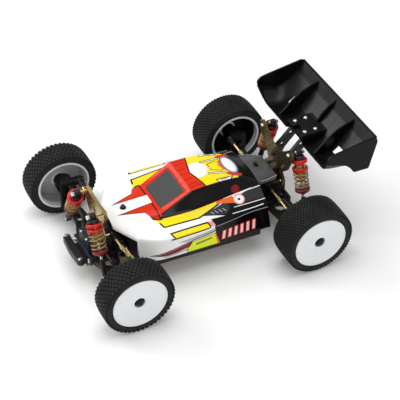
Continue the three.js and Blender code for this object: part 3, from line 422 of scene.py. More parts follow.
class Shape:
    """Closed shells in millimetres that make up one piece."""

    def __init__(self):
        self.verts = []
        self.faces = []

    def add(self, verts, faces, place=None):
        start = len(self.verts)
        self.verts += [place @ Vector(v) if place else Vector(v) for v in verts]
        self.faces += [[start + i for i in face] for face in faces]
        return self

    def turned(self, profile, place, sides=48):
        """A solid of revolution about local z, from (radius, height) points.

        The profile closes on itself or on the axis.
        """
        rings = []
        verts = []
        for radius, height in profile:
            if radius < 1e-6:
                rings.append([len(verts)] * sides)
                verts.append((0, 0, height))
                continue
            rings.append(list(range(len(verts), len(verts) + sides)))
            for k in range(sides):
                angle = 2 * math.pi * k / sides
                verts.append((radius * math.cos(angle), radius * math.sin(angle), height))
        pairs = list(zip(rings, rings[1:]))
        if profile[0][0] > 1e-6:
            pairs.append((rings[-1], rings[0]))
        faces = []
        for a, b in pairs:
            for k in range(sides):
                m = (k + 1) % sides
                corners = [a[k], a[m], b[m], b[k]]
                face = [c for i, c in enumerate(corners) if c not in corners[:i]]
                if len(face) > 2:
                    faces.append(face)
        return self.add(verts, faces, place)

    def rod(self, start, end, radius, sides=20, rim=0.25):
        a, b = Vector(start), Vector(end)
        length = (b - a).length
        rim = min(rim, radius * 0.4, length * 0.3)
        profile = [(0, 0), (radius - rim, 0), (radius, rim)]
        profile += [(radius, length - rim), (radius - rim, length), (0, length)]
        return self.turned(profile, facing(a, b - a), sides)

    def prism(self, outline, low, high, place=None):
        count = len(outline)
        verts = [(u, v, low) for u, v in outline] + [(u, v, high) for u, v in outline]
        sides = [[i, (i + 1) % count, count + (i + 1) % count, count + i] for i in range(count)]
        return self.add(verts, [list(range(count))[::-1], list(range(count, 2 * count)), *sides], place)

    def block(self, low, high):
        outline = [(low[0], low[1]), (high[0], low[1]), (high[0], high[1]), (low[0], high[1])]
        return self.prism(outline, low[2], high[2])

    def sheet(self, outer, inner):
        """Two grids of points joined along their edges."""
        rows, columns = len(outer), len(outer[0])
        verts = [p for row in outer for p in row] + [p for row in inner for p in row]

        def at(skin, i, j):
            return skin * rows * columns + i * columns + j

        faces = []
        for skin in (0, 1):
            for i in range(rows - 1):
                for j in range(columns - 1):
                    corners = [(i, j), (i, j + 1), (i + 1, j + 1), (i + 1, j)]
                    faces.append([at(skin, *corner) for corner in corners])
        border = [(0, j) for j in range(columns)] + [(i, columns - 1) for i in range(1, rows)]
        border += [(rows - 1, j) for j in range(columns - 2, -1, -1)]
        border += [(i, 0) for i in range(rows - 2, 0, -1)]
        for (i, j), (k, m) in zip(border, border[1:] + border[:1]):
            faces.append([at(0, i, j), at(0, k, m), at(1, k, m), at(1, i, j)])
        return self.add(verts, faces)

    def screw(self, at, axis, radius, height=None):
        """A button head with rounded shoulders."""
        h = height or radius * 0.7
        profile = [(0, -0.4), (radius, -0.4), (radius, h * 0.35), (radius * 0.8, h * 0.8)]
        profile += [(radius * 0.5, h), (radius * 0.5, h * 0.4), (0, h * 0.4)]
        return self.turned(profile, facing(at, axis), 20)

    def piece(self, name, material, body, slot, bevel=0.0, angle=38, replaces=()):
        mesh = bpy.data.meshes.new(name)
        mesh.from_pydata([metres(v) for v in self.verts], [], self.faces)
        mesh.materials.append(material)
        return dress(mesh, name, body, bevel, angle, replaces)


def dress(mesh, name, body, bevel=0.0, angle=38, replaces=()):
    """Shades a mesh, puts it in the scene and ties it to its body."""
    work = bmesh.new()
    work.from_mesh(mesh)
    bmesh.ops.recalc_face_normals(work, faces=work.faces)
    work.to_mesh(mesh)
    work.free()
    mesh.polygons.foreach_set("use_smooth", [True] * len(mesh.polygons))
    mesh.set_sharp_from_angle(angle=math.radians(angle))
    obj = bpy.data.objects.new(name, mesh)
    bpy.context.scene.collection.objects.link(obj)
    if bevel:
        round_edges(obj, bevel)
    if body:
        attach(obj, body)
    if replaces:
        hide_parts(*replaces)
    return obj


def round_edges(obj, width, segments=2):
    bevel = obj.modifiers.new("edges", "BEVEL")
    bevel.width = width / 1000
    bevel.segments = segments
    bevel.limit_method = "ANGLE"
    bevel.angle_limit = math.radians(35)
    return bevel


def rounded(points, radius, steps=4):
    """An outline with each corner cut by a short curve."""
    result = []
    for before, point, after in zip([points[-1]] + points[:-1], points, points[1:] + points[:1]):
        p = Vector(point)
        to_before, to_after = Vector(before) - p, Vector(after) - p
        reach = min(radius, to_before.length * 0.45, to_after.length * 0.45)
        a, b = p + to_before.normalized() * reach, p + to_after.normalized() * reach
        for k in range(steps + 1):
            t = k / steps
            result.append(tuple((1 - t) ** 2 * a + 2 * t * (1 - t) * p + t * t * b))
    return result


# ---------------------------------------------------------------- body shell
# Each station is x, the height of the centreline, and the rest of half the outer profile as (y, z):
# centre panel edge, roof edge, window base, shoulder, outer top edge, side crease and lower edge.
SHELL = [
    (77, 52.5, (5, 52.6), (9, 52), (11, 51), (12.5, 50), (13.5, 49), (13.8, 47.8), (13.8, 46.6)),
    (70, 53.4, (6.5, 53.5), (12, 52.8), (16, 51.3), (21, 50), (25, 48.3), (25.8, 47), (26, 45.8)),
    (62.6, 54, (7.5, 54), (14, 53.2), (19, 51.3), (30, 50.2), (37, 47.5), (38.2, 46.2), (38.4, 45)),
    (62, 54.1, (7.6, 54), (14.1, 53.2), (19.1, 51.3), (30.3, 50.2), (37.4, 47.5), (38.5, 27), (38.4, 25)),
    (50, 54.6, (9, 54.5), (17, 53.4), (21, 50.9), (36, 50.3), (45.8, 47.8), (47.2, 27), (47.3, 25)),
    (41, 55, (10, 54.9), (20.5, 52.8), (22.6, 50.5), (41, 50.3), (48.5, 47.6), (48.4, 27.4), (48, 25)),
    (33, 55.3, (17.3, 55), (22, 54), (25, 50.7), (43, 50.2), (49.7, 47.5), (49, 28.6), (48.4, 25)),
    (20, 62, (18, 61.8), (22.3, 61.6), (27, 51.6), (43.5, 50), (49.7, 47.4), (49.3, 30.6), (48.7, 25)),
    (7.5, 68.7, (18.4, 68.4), (22.2, 68.8), (28.5, 52.5), (43.5, 49.8), (49.6, 47.2), (49.3, 33), (49, 25)),
    (4, 70.8, (18.6, 70.6), (22.2, 70.4), (28.7, 52.8), (43.4, 49.8), (49.5, 47.1), (49.3, 33.6), (49.1, 25)),
    (-10, 72.2, (17, 72), (21.8, 71), (28.5, 53.6), (42, 49.6), (48.6, 46.8), (48.6, 36), (49.5, 25)),
    (-25, 71, (15, 70.7), (20.3, 69.5), (27.6, 54.6), (40, 49.2), (46.5, 46.2), (46.9, 38.6), (49.9, 25)),
    (-36, 69, (13, 68.6), (19, 67.6), (27, 55.4), (39, 49), (44.5, 45.8), (45, 40.6), (50, 25)),
    (-47, 66.5, (11.5, 66), (17.8, 65.3), (26.5, 56), (38.5, 49), (43, 45.6), (43.6, 42.6), (50, 25)),
    (-56, 62.6, (10.5, 62.2), (17.2, 61.2), (26.2, 56.4), (38.3, 49), (42.6, 45.6), (43, 44), (50.2, 25)),
    (-62.4, 59.6, (11, 59.2), (17.6, 58), (26, 56.7), (38.3, 49), (42.5, 45.6), (43, 44.5), (50.2, 25)),
    (-63, 59.3, (10.8, 58.9), (16.6, 57.9), (20, 56.6), (20.8, 55.6), (21, 54.2), (21.1, 52.6), (21.2, 51)),
    (-72, 56.2, (9, 56), (15, 55.4), (18.6, 54.4), (19.6, 53.4), (20, 52.2), (20, 51), (20, 49.8)),
    (-86, 52.6, (8, 52.4), (12.5, 51.9), (14.8, 51.1), (15.6, 50.4), (16, 49.2), (16, 48.2), (16, 47)),
]
SHELL_THICKNESS = 1.2
GLASS_RIM = 1.1
GLASS_DEPTH = 0.9
COLUMN_CREASE = {0: 0.0, 1: 0.25, 2: 0.75, 3: 0.85, 4: 0.35, 5: 0.9, 6: 0.5, 7: 1.0}
ROW_CREASE = {33: 0.85, 7.5: 0.8, 4: 0.5, 62.6: 1.0, 62: 1.0, -62.4: 1.0, -63: 1.0, 77: 1.0, -86: 1.0}


TOP, WINDOW, SKIRT, TAIL, GLASS = range(5)  # the shell's material slots


def shell_material(x, column):
    if x <= -63:
        return TAIL
    if column == 0 and 7.5 < x <= 33:
        return GLASS
    if column == 2 and x <= 33:
        return WINDOW
    if column >= 5 and x <= 62:
        return SKIRT
    return TOP


def body_shell():
    half = len(SHELL[0]) - 2
    columns = list(range(-half, half + 1))
    work = bmesh.new()
    grid = []
    for x, centreline, *rest in SHELL:
        profile = [(0, centreline), *rest]
        row = []
        for c in columns:
            y, z = profile[abs(c)]
            row.append(work.verts.new(((x + MID_X) / 1000, math.copysign(y, c) / 1000, z / 1000)))
        grid.append(row)
    for i in range(len(SHELL) - 1):
        for j in range(len(columns) - 1):
            face = work.faces.new((grid[i][j], grid[i + 1][j], grid[i + 1][j + 1], grid[i][j + 1]))
            column = min(abs(columns[j]), abs(columns[j + 1]))
            face.material_index = shell_material(SHELL[i][0], column)
            face.smooth = True
    crease = work.edges.layers.float.new("crease_edge")
    place = {v: (i, columns[j]) for i, row in enumerate(grid) for j, v in enumerate(row)}
    for edge in work.edges:
        (i, a), (k, b) = (place[v] for v in edge.verts)
        edge[crease] = COLUMN_CREASE[abs(a)] if a == b else ROW_CREASE.get(SHELL[i][0], 0.1)
    bmesh.ops.recalc_face_normals(work, faces=work.faces)
    if sum(f.normal.z for f in work.faces) < 0:
        bmesh.ops.reverse_faces(work, faces=work.faces)
    glass = [f for f in work.faces if f.material_index == GLASS]
    inset = bmesh.ops.inset_region(
        work, faces=glass, thickness=GLASS_RIM / 1000, depth=-GLASS_DEPTH / 1000, use_even_offset=True)
    for face in inset["faces"]:
        face.material_index = TOP
        for edge in face.edges:
            edge[crease] = 0.9
    mesh = bpy.data.meshes.new("body_shell_paint")
    work.to_mesh(mesh)
    work.free()
    for material in (plan_paint(), side_window_paint(), skirt_paint(), TAIL_GREY, glass_material()):
        mesh.materials.append(material)
    obj = bpy.data.objects.new("body_shell_painted", mesh)
    bpy.context.scene.collection.objects.link(obj)
    subdivision = obj.modifiers.new("smooth", "SUBSURF")
    subdivision.levels = subdivision.render_levels = 3
    wall = obj.modifiers.new("wall", "SOLIDIFY")
    wall.thickness = SHELL_THICKNESS / 1000
    wall.offset = -1
    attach(obj, "chassis")
    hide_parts("body_shell")


def shell_details():
    tips = Shape()
    for x, z in ((60.4, 54.1), (-72, 56.3)):
        tips.turned([(1.9, 0.35), (2.9, 0.3), (3.1, -0.6), (1.9, -0.6)], facing((x, 0, z), (0, 0, 1)), 28)
    tips.piece("post_grommets", PLASTIC, "chassis", "plastic")
    rim = Shape()
    for side in SIDES.values():
        line = [(-86, 15.4, 50.6), (-80, 18, 52.2), (-72, 19.9, 53), (-66, 20.8, 54.6)]
        for a, b in zip(line, line[1:]):
            rim.rod((a[0], side * a[1], a[2]), (b[0], side * b[1], b[2]), 0.5, 10, 0.1)
    rim.rod((-86, 15.4, 50.6), (-86, -15.4, 50.6), 0.5, 10, 0.1)
    rim.piece("tail_cover_rim", TAIL_RIM, "chassis", "shell")


# ---------------------------------------------------------------- wheels
# Blocks around the tyre, rows across it, corners of a block and its radius.
TREAD = {"front": (48, 8, 6, 1.80), "rear": (66, 12, 4, 1.55)}
TREAD_DEPTH = 1.1
TREAD_MARGIN = 0.9  # bare tread beside the outermost rows
CROWN_DROP = 0.9  # how much lower the tread is at its shoulders
BLOCK_STRETCH = 1.12  # a block's length along the tyre for its width
BLOCK_ROOT = 0.6  # how far a block reaches into the carcass


def tyre(end, side):
    half = HALF_WIDTH[end]
    sign = SIDES[side]
    place = facing((ENDS[end] * AXLE_X, sign * WHEEL_Y[end], TYRE_RADIUS), (0, sign, 0), (1, 0, 0))
    base = TYRE_RADIUS - TREAD_DEPTH
    sidewall = [(25.6, 1.4), (25.9, 0.5), (27, 0.15), (28.2, 0.2), (28.6, 0.5), (29.8, 0.3), (30.9, 1.2)]
    sidewall.append((base, 2.6))
    carcass = from_face(half, sidewall) + [(base, 0)] + from_back(half, sidewall[::-1])
    lining = [(25.6, 2.4), (29, 2.6)]
    carcass += from_back(half, lining) + [(29.6, 0)] + from_face(half, lining[::-1])
    shape = Shape().turned(carcass, place, 96)
    around, across, corners, size = TREAD[end]
    pitch = 2 * (half - TREAD_MARGIN) / across
    for row in range(across):
        w = -half + TREAD_MARGIN + pitch * (row + 0.5)
        crown = TYRE_RADIUS - CROWN_DROP * (abs(w) / half) ** 3
        for k in range(around):
            middle_angle = 2 * math.pi * (k + 0.5 * (row % 2)) / around
            verts = []
            for radius, scale in ((base - BLOCK_ROOT, 1.12), (crown, 0.88)):
                for c in range(corners):
                    turn = 2 * math.pi * (c + (0.5 if corners == 6 else 0)) / corners
                    along = size * scale * math.cos(turn) * BLOCK_STRETCH / TYRE_RADIUS
                    across_w = max(-half, min(half, w + size * scale * math.sin(turn)))
                    a = middle_angle + along
                    verts.append((radius * math.cos(a), radius * math.sin(a), across_w))
            faces = [list(range(corners))[::-1], list(range(corners, 2 * corners))]
            for c in range(corners):
                following = (c + 1) % corners
                faces.append([c, following, corners + following, corners + c])
            shape.add(verts, faces, place)
    name = f"{end}_tyre_{side}"
    shape.piece(f"{name}_tread", RUBBER, f"{end}_wheel_{side}", "tyre", replaces=[name])


def rim(end, side):
    half = HALF_WIDTH[end]
    sign = SIDES[side]
    body = f"{end}_wheel_{side}"
    place = facing((ENDS[end] * AXLE_X, sign * WHEEL_Y[end], TYRE_RADIUS), (0, sign, 0), (1, 0, 0))
    hub = [(2.8, 12.6), (8, 12.6), (8.6, 6.6), (21.4, 4.4), (22.9, 5.4)]
    back_edge = [(22.9, 1.2), (23.4, 0.4), (25.1, 0.3), (25.3, 0.9), (24.4, 2.6)]
    dish = [(24.2, 2.8), (25.1, 1.2), (25.2, 0.6), (24.7, 0.35), (24.0, 0.6), (23.4, 1.4), (20, 1.8)]
    dish += [(7.6, 2.1), (6.2, 1.7), (5.3, 1.8), (4.8, 2.5), (4.7, 4.4), (2.8, 4.4)]
    profile = from_face(half, hub) + from_back(half, back_edge) + from_face(half, dish)
    Shape().turned(profile, place, 96).piece(f"{end}_rim_{side}", RIM_WHITE, body, "wheel", replaces=[body])
    # The rim's inner barrel is painted darker than the white rim, as shade.
    lining = from_face(half, [(22.95, 5.3), (8.4, 6.5), (8.4, 7.3), (22.1, 6.1)])
    lining = from_back(half, [(22.95, 5.5)]) + lining + from_back(half, [(22.1, 5.5)])
    Shape().turned(lining, place, 64).piece(f"{end}_rim_inside_{side}", RIM_INSIDE_PAINTED_SHADE[end], body, "wheel")
    nut = Shape().prism(hexagon(4.2), half - 4.3, half - 1.3, place)
    nut.turned(from_face(half, [(0, 4.4), (4.5, 4.4), (4.5, 3.6), (4.2, 3.1), (0, 3.1)]), place, 32)
    nut.turned(from_face(half, [(0, 2), (3.2, 2), (3.2, 0.9), (2.9, 0.6), (0, 0.6)]), place, 24)
    nut.turned(from_face(half, [(0, 24), (2.5, 24), (2.5, 18), (6.6, 18), (6.6, 13), (0, 13)]), place, 24)
    nut.piece(f"{end}_wheel_nut_{side}", BLACK_STEEL, body, "black_steel", bevel=0.2)
    stub = Shape().turned(from_face(half, [(0, 1), (2, 1), (2, 0.5), (1.6, 0.2), (0, 0.2)]), place, 24)
    stub.piece(f"{end}_axle_end_{side}", BLACK_STEEL, body, "black_steel")


# ---------------------------------------------------------------- shock absorbers
BARREL_GAP = 8  # from the barrel's end to the spring seat
THREAD_PITCH = 0.9
SPRING_RADIUS = 6.1
WIRE_RADIUS = 0.82
SPRING_COILS = 4.6
SPRING_EASE = 0.055  # closes the coils at both ends


def shock(end, side):
    sign = SIDES[side]
    s = SHOCKS[end]
    top = Vector((s["x"], sign * s["top"][0], s["top"][1]))
    foot = Vector((s["x"], sign * s["foot"][0], s["foot"][1]))
    down = (foot - top).normalized()
    length = (foot - top).length
    place = facing(top, down, (1, 0, 0))
    body, rod = f"{end}_shock_body_{side}", f"{end}_shock_rod_{side}"
    seat = s["seat"]
    barrel_end = seat - BARREL_GAP

    cap = Shape().turned([(0, 2.4), (4.0, 2.4), (5.0, 3.2), (5.2, 5.2), (4.8, 5.8), (0, 5.8)], place, 32)
    cap.rod(top - Vector((2.9, 0, 0)), top + Vector((2.9, 0, 0)), 3.2, 28, 0.5)
    cap.piece(f"{body}_cap", PLASTIC, body, "plastic", replaces=[body])
    stud = Shape()
    stud.rod(top - Vector((3.3, 0, 0)), top + Vector((3.3, 0, 0)), 2.0, 24, 0.4)
    stud.piece(f"{body}_ball", STEEL, body, "steel")
    collars = Shape()
    for low, high in s["collars"]:
        ring = [(4.4, low), (6.5, low), (7.2, low + 0.6), (7.2, high - 0.6), (6.5, high), (4.4, high)]
        collars.turned(ring, place, 40)
    for k in range(12):
        angle = 2 * math.pi * k / 12
        spot = place @ Vector((6.95 * math.cos(angle), 6.95 * math.sin(angle), 0))
        for low, high in s["collars"]:
            collars.rod(spot + down * (low + 0.4), spot + down * (high - 0.4), 0.42, 8, 0.1)
    collars.piece(f"{body}_collars", RED_METAL, body, "shock_rod")
    thread = [(3.6, 5.4), (4.6, 5.6)]
    turns = int((barrel_end - 7) / THREAD_PITCH)
    for k in range(turns):
        z = 6.2 + THREAD_PITCH * k
        thread += [(4.15, z), (4.62, z + THREAD_PITCH / 2)]
    thread += [(4.5, barrel_end - 0.8), (3.9, barrel_end), (1.8, barrel_end)]
    thread += [(1.8, barrel_end - 3), (3.6, barrel_end - 3)]
    Shape().turned(thread, place, 40).piece(f"{body}_thread", BRIGHT_GOLD, body, "gold_turned", angle=20)

    shaft = [(0, barrel_end - 6), (1.35, barrel_end - 6), (1.35, length - 6), (0, length - 6)]
    Shape().turned(shaft, place, 20).piece(f"{rod}_shaft", STEEL, rod, "steel")
    cup = [(1.4, 0.2), (6.6, 0.2), (7.0, 0.7), (7.0, 2.2), (6.2, 3.2), (3.4, 4.4), (2.6, 5.6), (1.4, 5.6)]
    cup = Shape().turned([(radius, seat + drop) for radius, drop in cup], place, 40)
    cup.piece(f"{rod}_cup", DARK_RED, rod, "shock_rod", replaces=[rod])
    neck = [(0, 17), (1.9, 17), (2.3, 15.5), (2.6, 2), (0, 2)]
    end_eye = Shape().turned([(radius, length - rise) for radius, rise in neck], place, 24)
    end_eye.rod(foot - Vector((2.4, 0, 0)), foot + Vector((2.4, 0, 0)), 2.9, 28, 0.5)
    end_eye.piece(f"{rod}_eye", PLASTIC, rod, "plastic")
    bolt = Shape().screw(foot + Vector((2.4 * ENDS[end], 0, 0)), (ENDS[end], 0, 0), 1.6, 0.7)
    bolt.piece(f"{rod}_bolt", STEEL, rod, "steel")

    first, last = s["collars"][1][1] + WIRE_RADIUS, seat + 0.1 - WIRE_RADIUS
    steps = 26
    ring = 10
    verts = []
    count = int(SPRING_COILS * steps)
    for i in range(count + 1):
        share = i / count
        eased = share - SPRING_EASE * math.sin(2 * math.pi * share)
        angle = 2 * math.pi * SPRING_COILS * share
        x, y = SPRING_RADIUS * math.cos(angle), SPRING_RADIUS * math.sin(angle)
        centre = Vector((x, y, first + (last - first) * eased))
        out = Vector((math.cos(angle), math.sin(angle), 0))
        for k in range(ring):
            turn = 2 * math.pi * k / ring
            rise = Vector((0, 0, WIRE_RADIUS * math.sin(turn)))
            verts.append(centre + out * (WIRE_RADIUS * math.cos(turn)) + rise)
    faces = [list(range(ring)), list(range(count * ring, (count + 1) * ring))[::-1]]
    for i in range(count):
        for k in range(ring):
            m = (k + 1) % ring
            faces.append([i * ring + k, (i + 1) * ring + k, (i + 1) * ring + m, i * ring + m])
    coil = Shape().add(verts, faces, place)
    node = f"{end}_shock_spring_{side}"
    spring = coil.piece(f"{end}_spring_{side}", SPRING_TAN, None, "spring", replaces=[node])
    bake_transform(spring)


# ---------------------------------------------------------------- links and steering
# Inner and outer eye as (y, z), and how far each link stands from its axle towards the middle.
CAMBER_LINK = {"front": ((14, 41), (60.5, 45)), "rear": ((14, 41), (60.5, 41))}
CAMBER_LINK_INSET = 9.9
TIE_ROD = ((22.5, 36.2), (69, 36.2))
TIE_ROD_INSET = 15.5


def turnbuckle(name, x, sign, eyes, eye_axis):
    a, b = (Vector((x, sign * y, z)) for y, z in eyes)
    along = (b - a).normalized()
    centre = (a + b) / 2
    bar = Shape().rod(a + along * 4, b - along * 4, 1.2, 16)
    bar.prism(hexagon(1.9), -2.6, 2.6, facing(centre, along))
    bar.piece(f"{name}_bar", BRIGHT_GOLD, name, "gold_turned", bevel=0.15)
    ends = Shape()
    axis = Vector(eye_axis)
    for point, away in ((a, along), (b, -along)):
        cup = [(1.5, -1.9), (2.6, -1.9), (2.9, -1.4), (2.9, 1.4), (2.6, 1.9), (1.5, 1.9)]
        ends.turned(cup, facing(point, axis), 24)
        ends.rod(point + away * 2.2, point + away * 9, 1.9, 18, 0.4)
    ends.piece(f"{name}_cups", PLASTIC, name, "plastic", replaces=[name])
    balls = Shape()
    for point in (a, b):
        ball = [(0, -1.7), (1.0, -1.5), (1.45, -0.6), (1.45, 0.6), (1.0, 1.5), (0, 1.7)]
        balls.turned(ball, facing(point, axis), 20)
    balls.piece(f"{name}_balls", STEEL, name, "steel")


def links():
    for side, sign in SIDES.items():
        for end, way in ENDS.items():
            x = way * (AXLE_X - CAMBER_LINK_INSET)
            turnbuckle(f"{end}_camber_link_{side}", x, sign, CAMBER_LINK[end], (1, 0, 0))
        turnbuckle(f"tie_rod_{side}", AXLE_X - TIE_ROD_INSET, sign, TIE_ROD, (0, 0, 1))


# ---------------------------------------------------------------- wing
WING_HALF = 65
WING_CURL_START = 50  # from here out the wing's profile changes from WING_CHORD to WING_END
WING_SLOT = (36.5, 45.5)
WING_RIB_Y = 32
PLATFORM_HALF = 14
WING_CHORD = [
    (-111, 79), (-117, 77.6), (-124, 77.2), (-130, 79.4), (-136, 84),
    (-143, 91.5), (-150, 99.5), (-154.4, 105.2), (-156.2, 107.2),
]
WING_END = [
    (-107, 93.8), (-114, 91), (-121, 88.8), (-128, 85.6), (-134, 87),
    (-141, 92.5), (-149, 99.8), (-154.4, 105.4), (-156.2, 107.2),
]
END_PLATE = [
    (-107, 97.6), (-110, 100.5), (-116, 102), (-154, 108), (-156.6, 106), (-157.5, 102), (-151, 74),
    (-135.5, 74.6), (-132, 80), (-127, 85), (-120, 88.4), (-112, 90.6), (-106.6, 93.6),
]
SIDE_RIB = [
    (-155.4, 105.2), (-146, 102.6), (-136, 98.6), (-127, 92.4), (-119.5, 84.5), (-113.5, 79),
    (-117, 76.8), (-124, 76.4), (-131, 79), (-137, 84), (-144, 91.5), (-151, 99.5),
]
MIDDLE_RIB = [
    (-155.4, 105.2), (-146, 101), (-139, 94), (-134, 85.4), (-133.4, 83.2), (-137, 83.6),
    (-144, 91.5), (-151, 99.5),
]
WING_THICKNESS = 1.5


def wing_line(y):
    curl = max(0.0, (abs(y) - WING_CURL_START) / (WING_HALF - WING_CURL_START)) ** 2
    return [(a[0] + (b[0] - a[0]) * curl, a[1] + (b[1] - a[1]) * curl) for a, b in zip(WING_CHORD, WING_END)]


def below(line, distance):
    """The same line, moved square to itself."""
    result = []
    for i, (x, z) in enumerate(line):
        before, after = line[max(i - 1, 0)], line[min(i + 1, len(line) - 1)]
        dx, dz = after[0] - before[0], after[1] - before[1]
        length = math.hypot(dx, dz)
        result.append((x - dz / length * distance, z + dx / length * distance))
    return result


def wing():
    xz = Matrix(((1, 0, 0, 0), (0, 0, -1, 0), (0, 1, 0, 0), (0, 0, 0, 1)))  # outline (x, z), depth along -y

    def plates(shape, outline, positions, thickness):
        for y in positions:
            shape.prism(outline, -y - thickness / 2, -y + thickness / 2, xz)

    def strip(shape, stations, first, last):
        outer = [[(x, y, z) for x, z in wing_line(y)[first:last]] for y in stations]
        inner = [[(x, y, z) for x, z in below(wing_line(y), WING_THICKNESS)[first:last]] for y in stations]
        shape.sheet(outer, inner)

    shape = Shape()
    count = len(WING_CHORD)
    slot_start, slot_end = WING_SLOT
    for sign in (1, -1):
        outside = [slot_end + (WING_HALF - slot_end) * k / 14 for k in range(15)]
        strip(shape, [sign * y for y in outside], 0, count)
        strip(shape, [sign * slot_start, sign * slot_end], 0, 4)
        strip(shape, [sign * slot_start, sign * slot_end], 4, count)
        strip(shape, [sign * PLATFORM_HALF, sign * slot_start], 0, count)
    strip(shape, [-PLATFORM_HALF, PLATFORM_HALF], 4, count)
    plates(shape, rounded(END_PLATE, 1.6), (WING_HALF, -WING_HALF), 2.0)
    plates(shape, SIDE_RIB, (WING_RIB_Y, -WING_RIB_Y), 1.6)
    plates(shape, MIDDLE_RIB, (0,), 1.6)
    cheek = [(-111, 84.6), (-112, 77.4), (-124, 76), (-131, 78.6), (-137, 84.6)]
    plates(shape, cheek, (PLATFORM_HALF, -PLATFORM_HALF), 2.0)
    platform = [(-111, 84.2), (-111.6, 86), (-133, 86), (-137.6, 85.6), (-136, 83)]
    platform += [(-131, 82.6), (-113, 82.6)]
    for low, high in ((-PLATFORM_HALF, -3.4), (3.4, PLATFORM_HALF)):
        shape.prism(platform, low, high, xz)
    shape.prism([(x - 6 if x > -115 else x, z) for x, z in platform], -3.5, 3.5, xz)
    shape.rod((-156, -WING_HALF, 107), (-156, WING_HALF, 107), 0.95, 12)
    name = "rear_wing_moulding"
    shape.piece(name, WING_PLASTIC, "chassis", "plastic", bevel=0.22, angle=30, replaces=["rear_wing"])
    screws = Shape()
    for x in (-117, -128):
        for y in (-9, 9):
            screws.screw((x, y, 86), (0, 0, 1), 2.1)
    for y in (WING_HALF + 1, -WING_HALF - 1):
        for x, z in ((-118, 95), (-146, 88)):
            screws.screw((x, y - math.copysign(0.5, y), z), (0, y, 0), 1.0, 0.4)
    screws.piece("wing_screws", STEEL, "chassis", "steel")


# ---------------------------------------------------------------- fasteners and small parts
def fasteners():
    silver = Shape()
    black = Shape()
    nuts = Shape()
    for end, way in ENDS.items():
        s = SHOCKS[end]
        for sign in SIDES.values():
            y, z = s["top"]
            pin_end = s["x"] + way * 3.8
            nuts.prism(hexagon(2.3), -0.3, 1.5, facing((pin_end, sign * y, z), (way, 0, 0)))
            inner_face = AXLE_X - 3 if end == "front" else -AXLE_X - 4
            outer_face = inner_face + way * 3
            silver.screw((inner_face, sign * y, z), (-way, 0, 0), 2.0)
            black.screw((outer_face, sign * 6.5, 43), (way, 0, 0), 1.5)
            silver.screw((max(inner_face, outer_face), sign * 14, 41), (1, 0, 0), 1.4)
            plate_x = way * (AXLE_X + 13.4)
            silver.screw((plate_x, sign * ARM_PIVOT[0], ARM_PIVOT[1]), (way, 0, 0), 2.0)
    for sign in SIDES.values():
        silver.screw((110, sign * 17, 26), (0, 0, 1), 1.5)
        for x, y in ((98.5, 6), (80, 8.6), (-80, 8.8), (-98, 6)):
            silver.screw((x, sign * y, 36), (0, 0, 1), 1.3)
        for x in (-30, 0, 30):
            black.screw((x, sign * 34.5, 14.8), (0, 0, 1), 1.6)
    silver.piece("silver_screws", STEEL, "chassis", "steel")
    black.piece("black_screws", BLACK_STEEL, "chassis", "black_steel")
    nuts.piece("shock_nuts", STEEL, "chassis", "steel", bevel=0.15)


def front_bumper():
    """A slim bar on a foot, with a bolt through each end."""
    bar = [(105.5, -18), (109.6, -19.6), (112.2, -17), (113.5, 0), (112.2, 17), (109.6, 19.6), (105.5, 18)]
    foot = [(99.5, -12), (108, -16), (108, 16), (99.5, 12)]
    shape = Shape().prism(rounded(bar, 1.5), 19, 26)
    shape.prism(foot, 15, 17.6)
    for sign in SIDES.values():
        shape.block((105.6, 12 * sign - 2.5, 16), (109, 12 * sign + 2.5, 20))
    shape.piece("front_bumper_bar", PLASTIC, "chassis", "plastic", bevel=0.7, replaces=["front_bumper"])
    bolts = Shape()
    for sign in SIDES.values():
        bolts.rod((108.6, sign * 16.6, 18.4), (108.6, sign * 16.6, 26.2), 1.6, 20, 0.4)
    bolts.piece("bumper_bolts", STEEL, "chassis", "steel")


MOTOR_AXIS = (-16.93, 28.8)  # y and z


def electrics():
    """Straps, fins and rings of what the shell covers."""
    straps = Shape()
    for x in (-30, 22):
        straps.block((x - 4, 6.4, 12.9), (x + 4, 29, 31.6))
    straps.piece("battery_straps", PLASTIC, "chassis", "plastic", bevel=0.6)
    fins = Shape()
    for k in range(9):
        x = -6 + 3.4 * k
        fins.block((x, -27.5, 26.6), (x + 1.1, -8.5, 30.2))
    fins.block((-8, -28, 26.8), (24.5, -8, 27.6))
    fins.piece("controller_heat_sink", BLACK_STEEL, "chassis", "black_steel", bevel=0.15)
    can = Shape()
    for x in (-46, -42, -38, -34, -30, -26, -22):
        ring = [(13.5, -0.5), (14.1, -0.5), (14.1, 0.5), (13.5, 0.5)]
        can.turned(ring, facing((x, *MOTOR_AXIS), (1, 0, 0)), 48)
    can.piece("motor_rings", RED_METAL, "chassis", "black_steel")


# ---------------------------------------------------------------- CAD nodes that show
# The material of each node and how far its edges are rounded.
# The rear shock tower takes the gold darkened as painted shade.
CAD_LOOKS = {
    "chassis_plate": (GOLD, 0.3), "chassis_guard": (PLASTIC, 0.5), "front_gearbox": (BLUE_GREY, 0.6),
    "rear_gearbox": (PLASTIC, 0.6), "front_shock_tower": (GOLD, 0.35), "rear_shock_tower": (GOLD_PAINTED_SHADE, 0.45),
    "motor": (MOTOR_CAN, 0.4), "motor_pinion": (STEEL, 0.1),
    "centre_shaft": (BLACK_STEEL, 0.15), "steering_servo": (PLASTIC, 0.4), "servo_horn": (PLASTIC, 0.3),
    "speed_controller": (PLASTIC, 0.8), "battery_pack": (BATTERY_WRAP, 1.6), "steering_plate": (GOLD, 0.25),
    "wing_mount": (PLASTIC, 0.3),
}


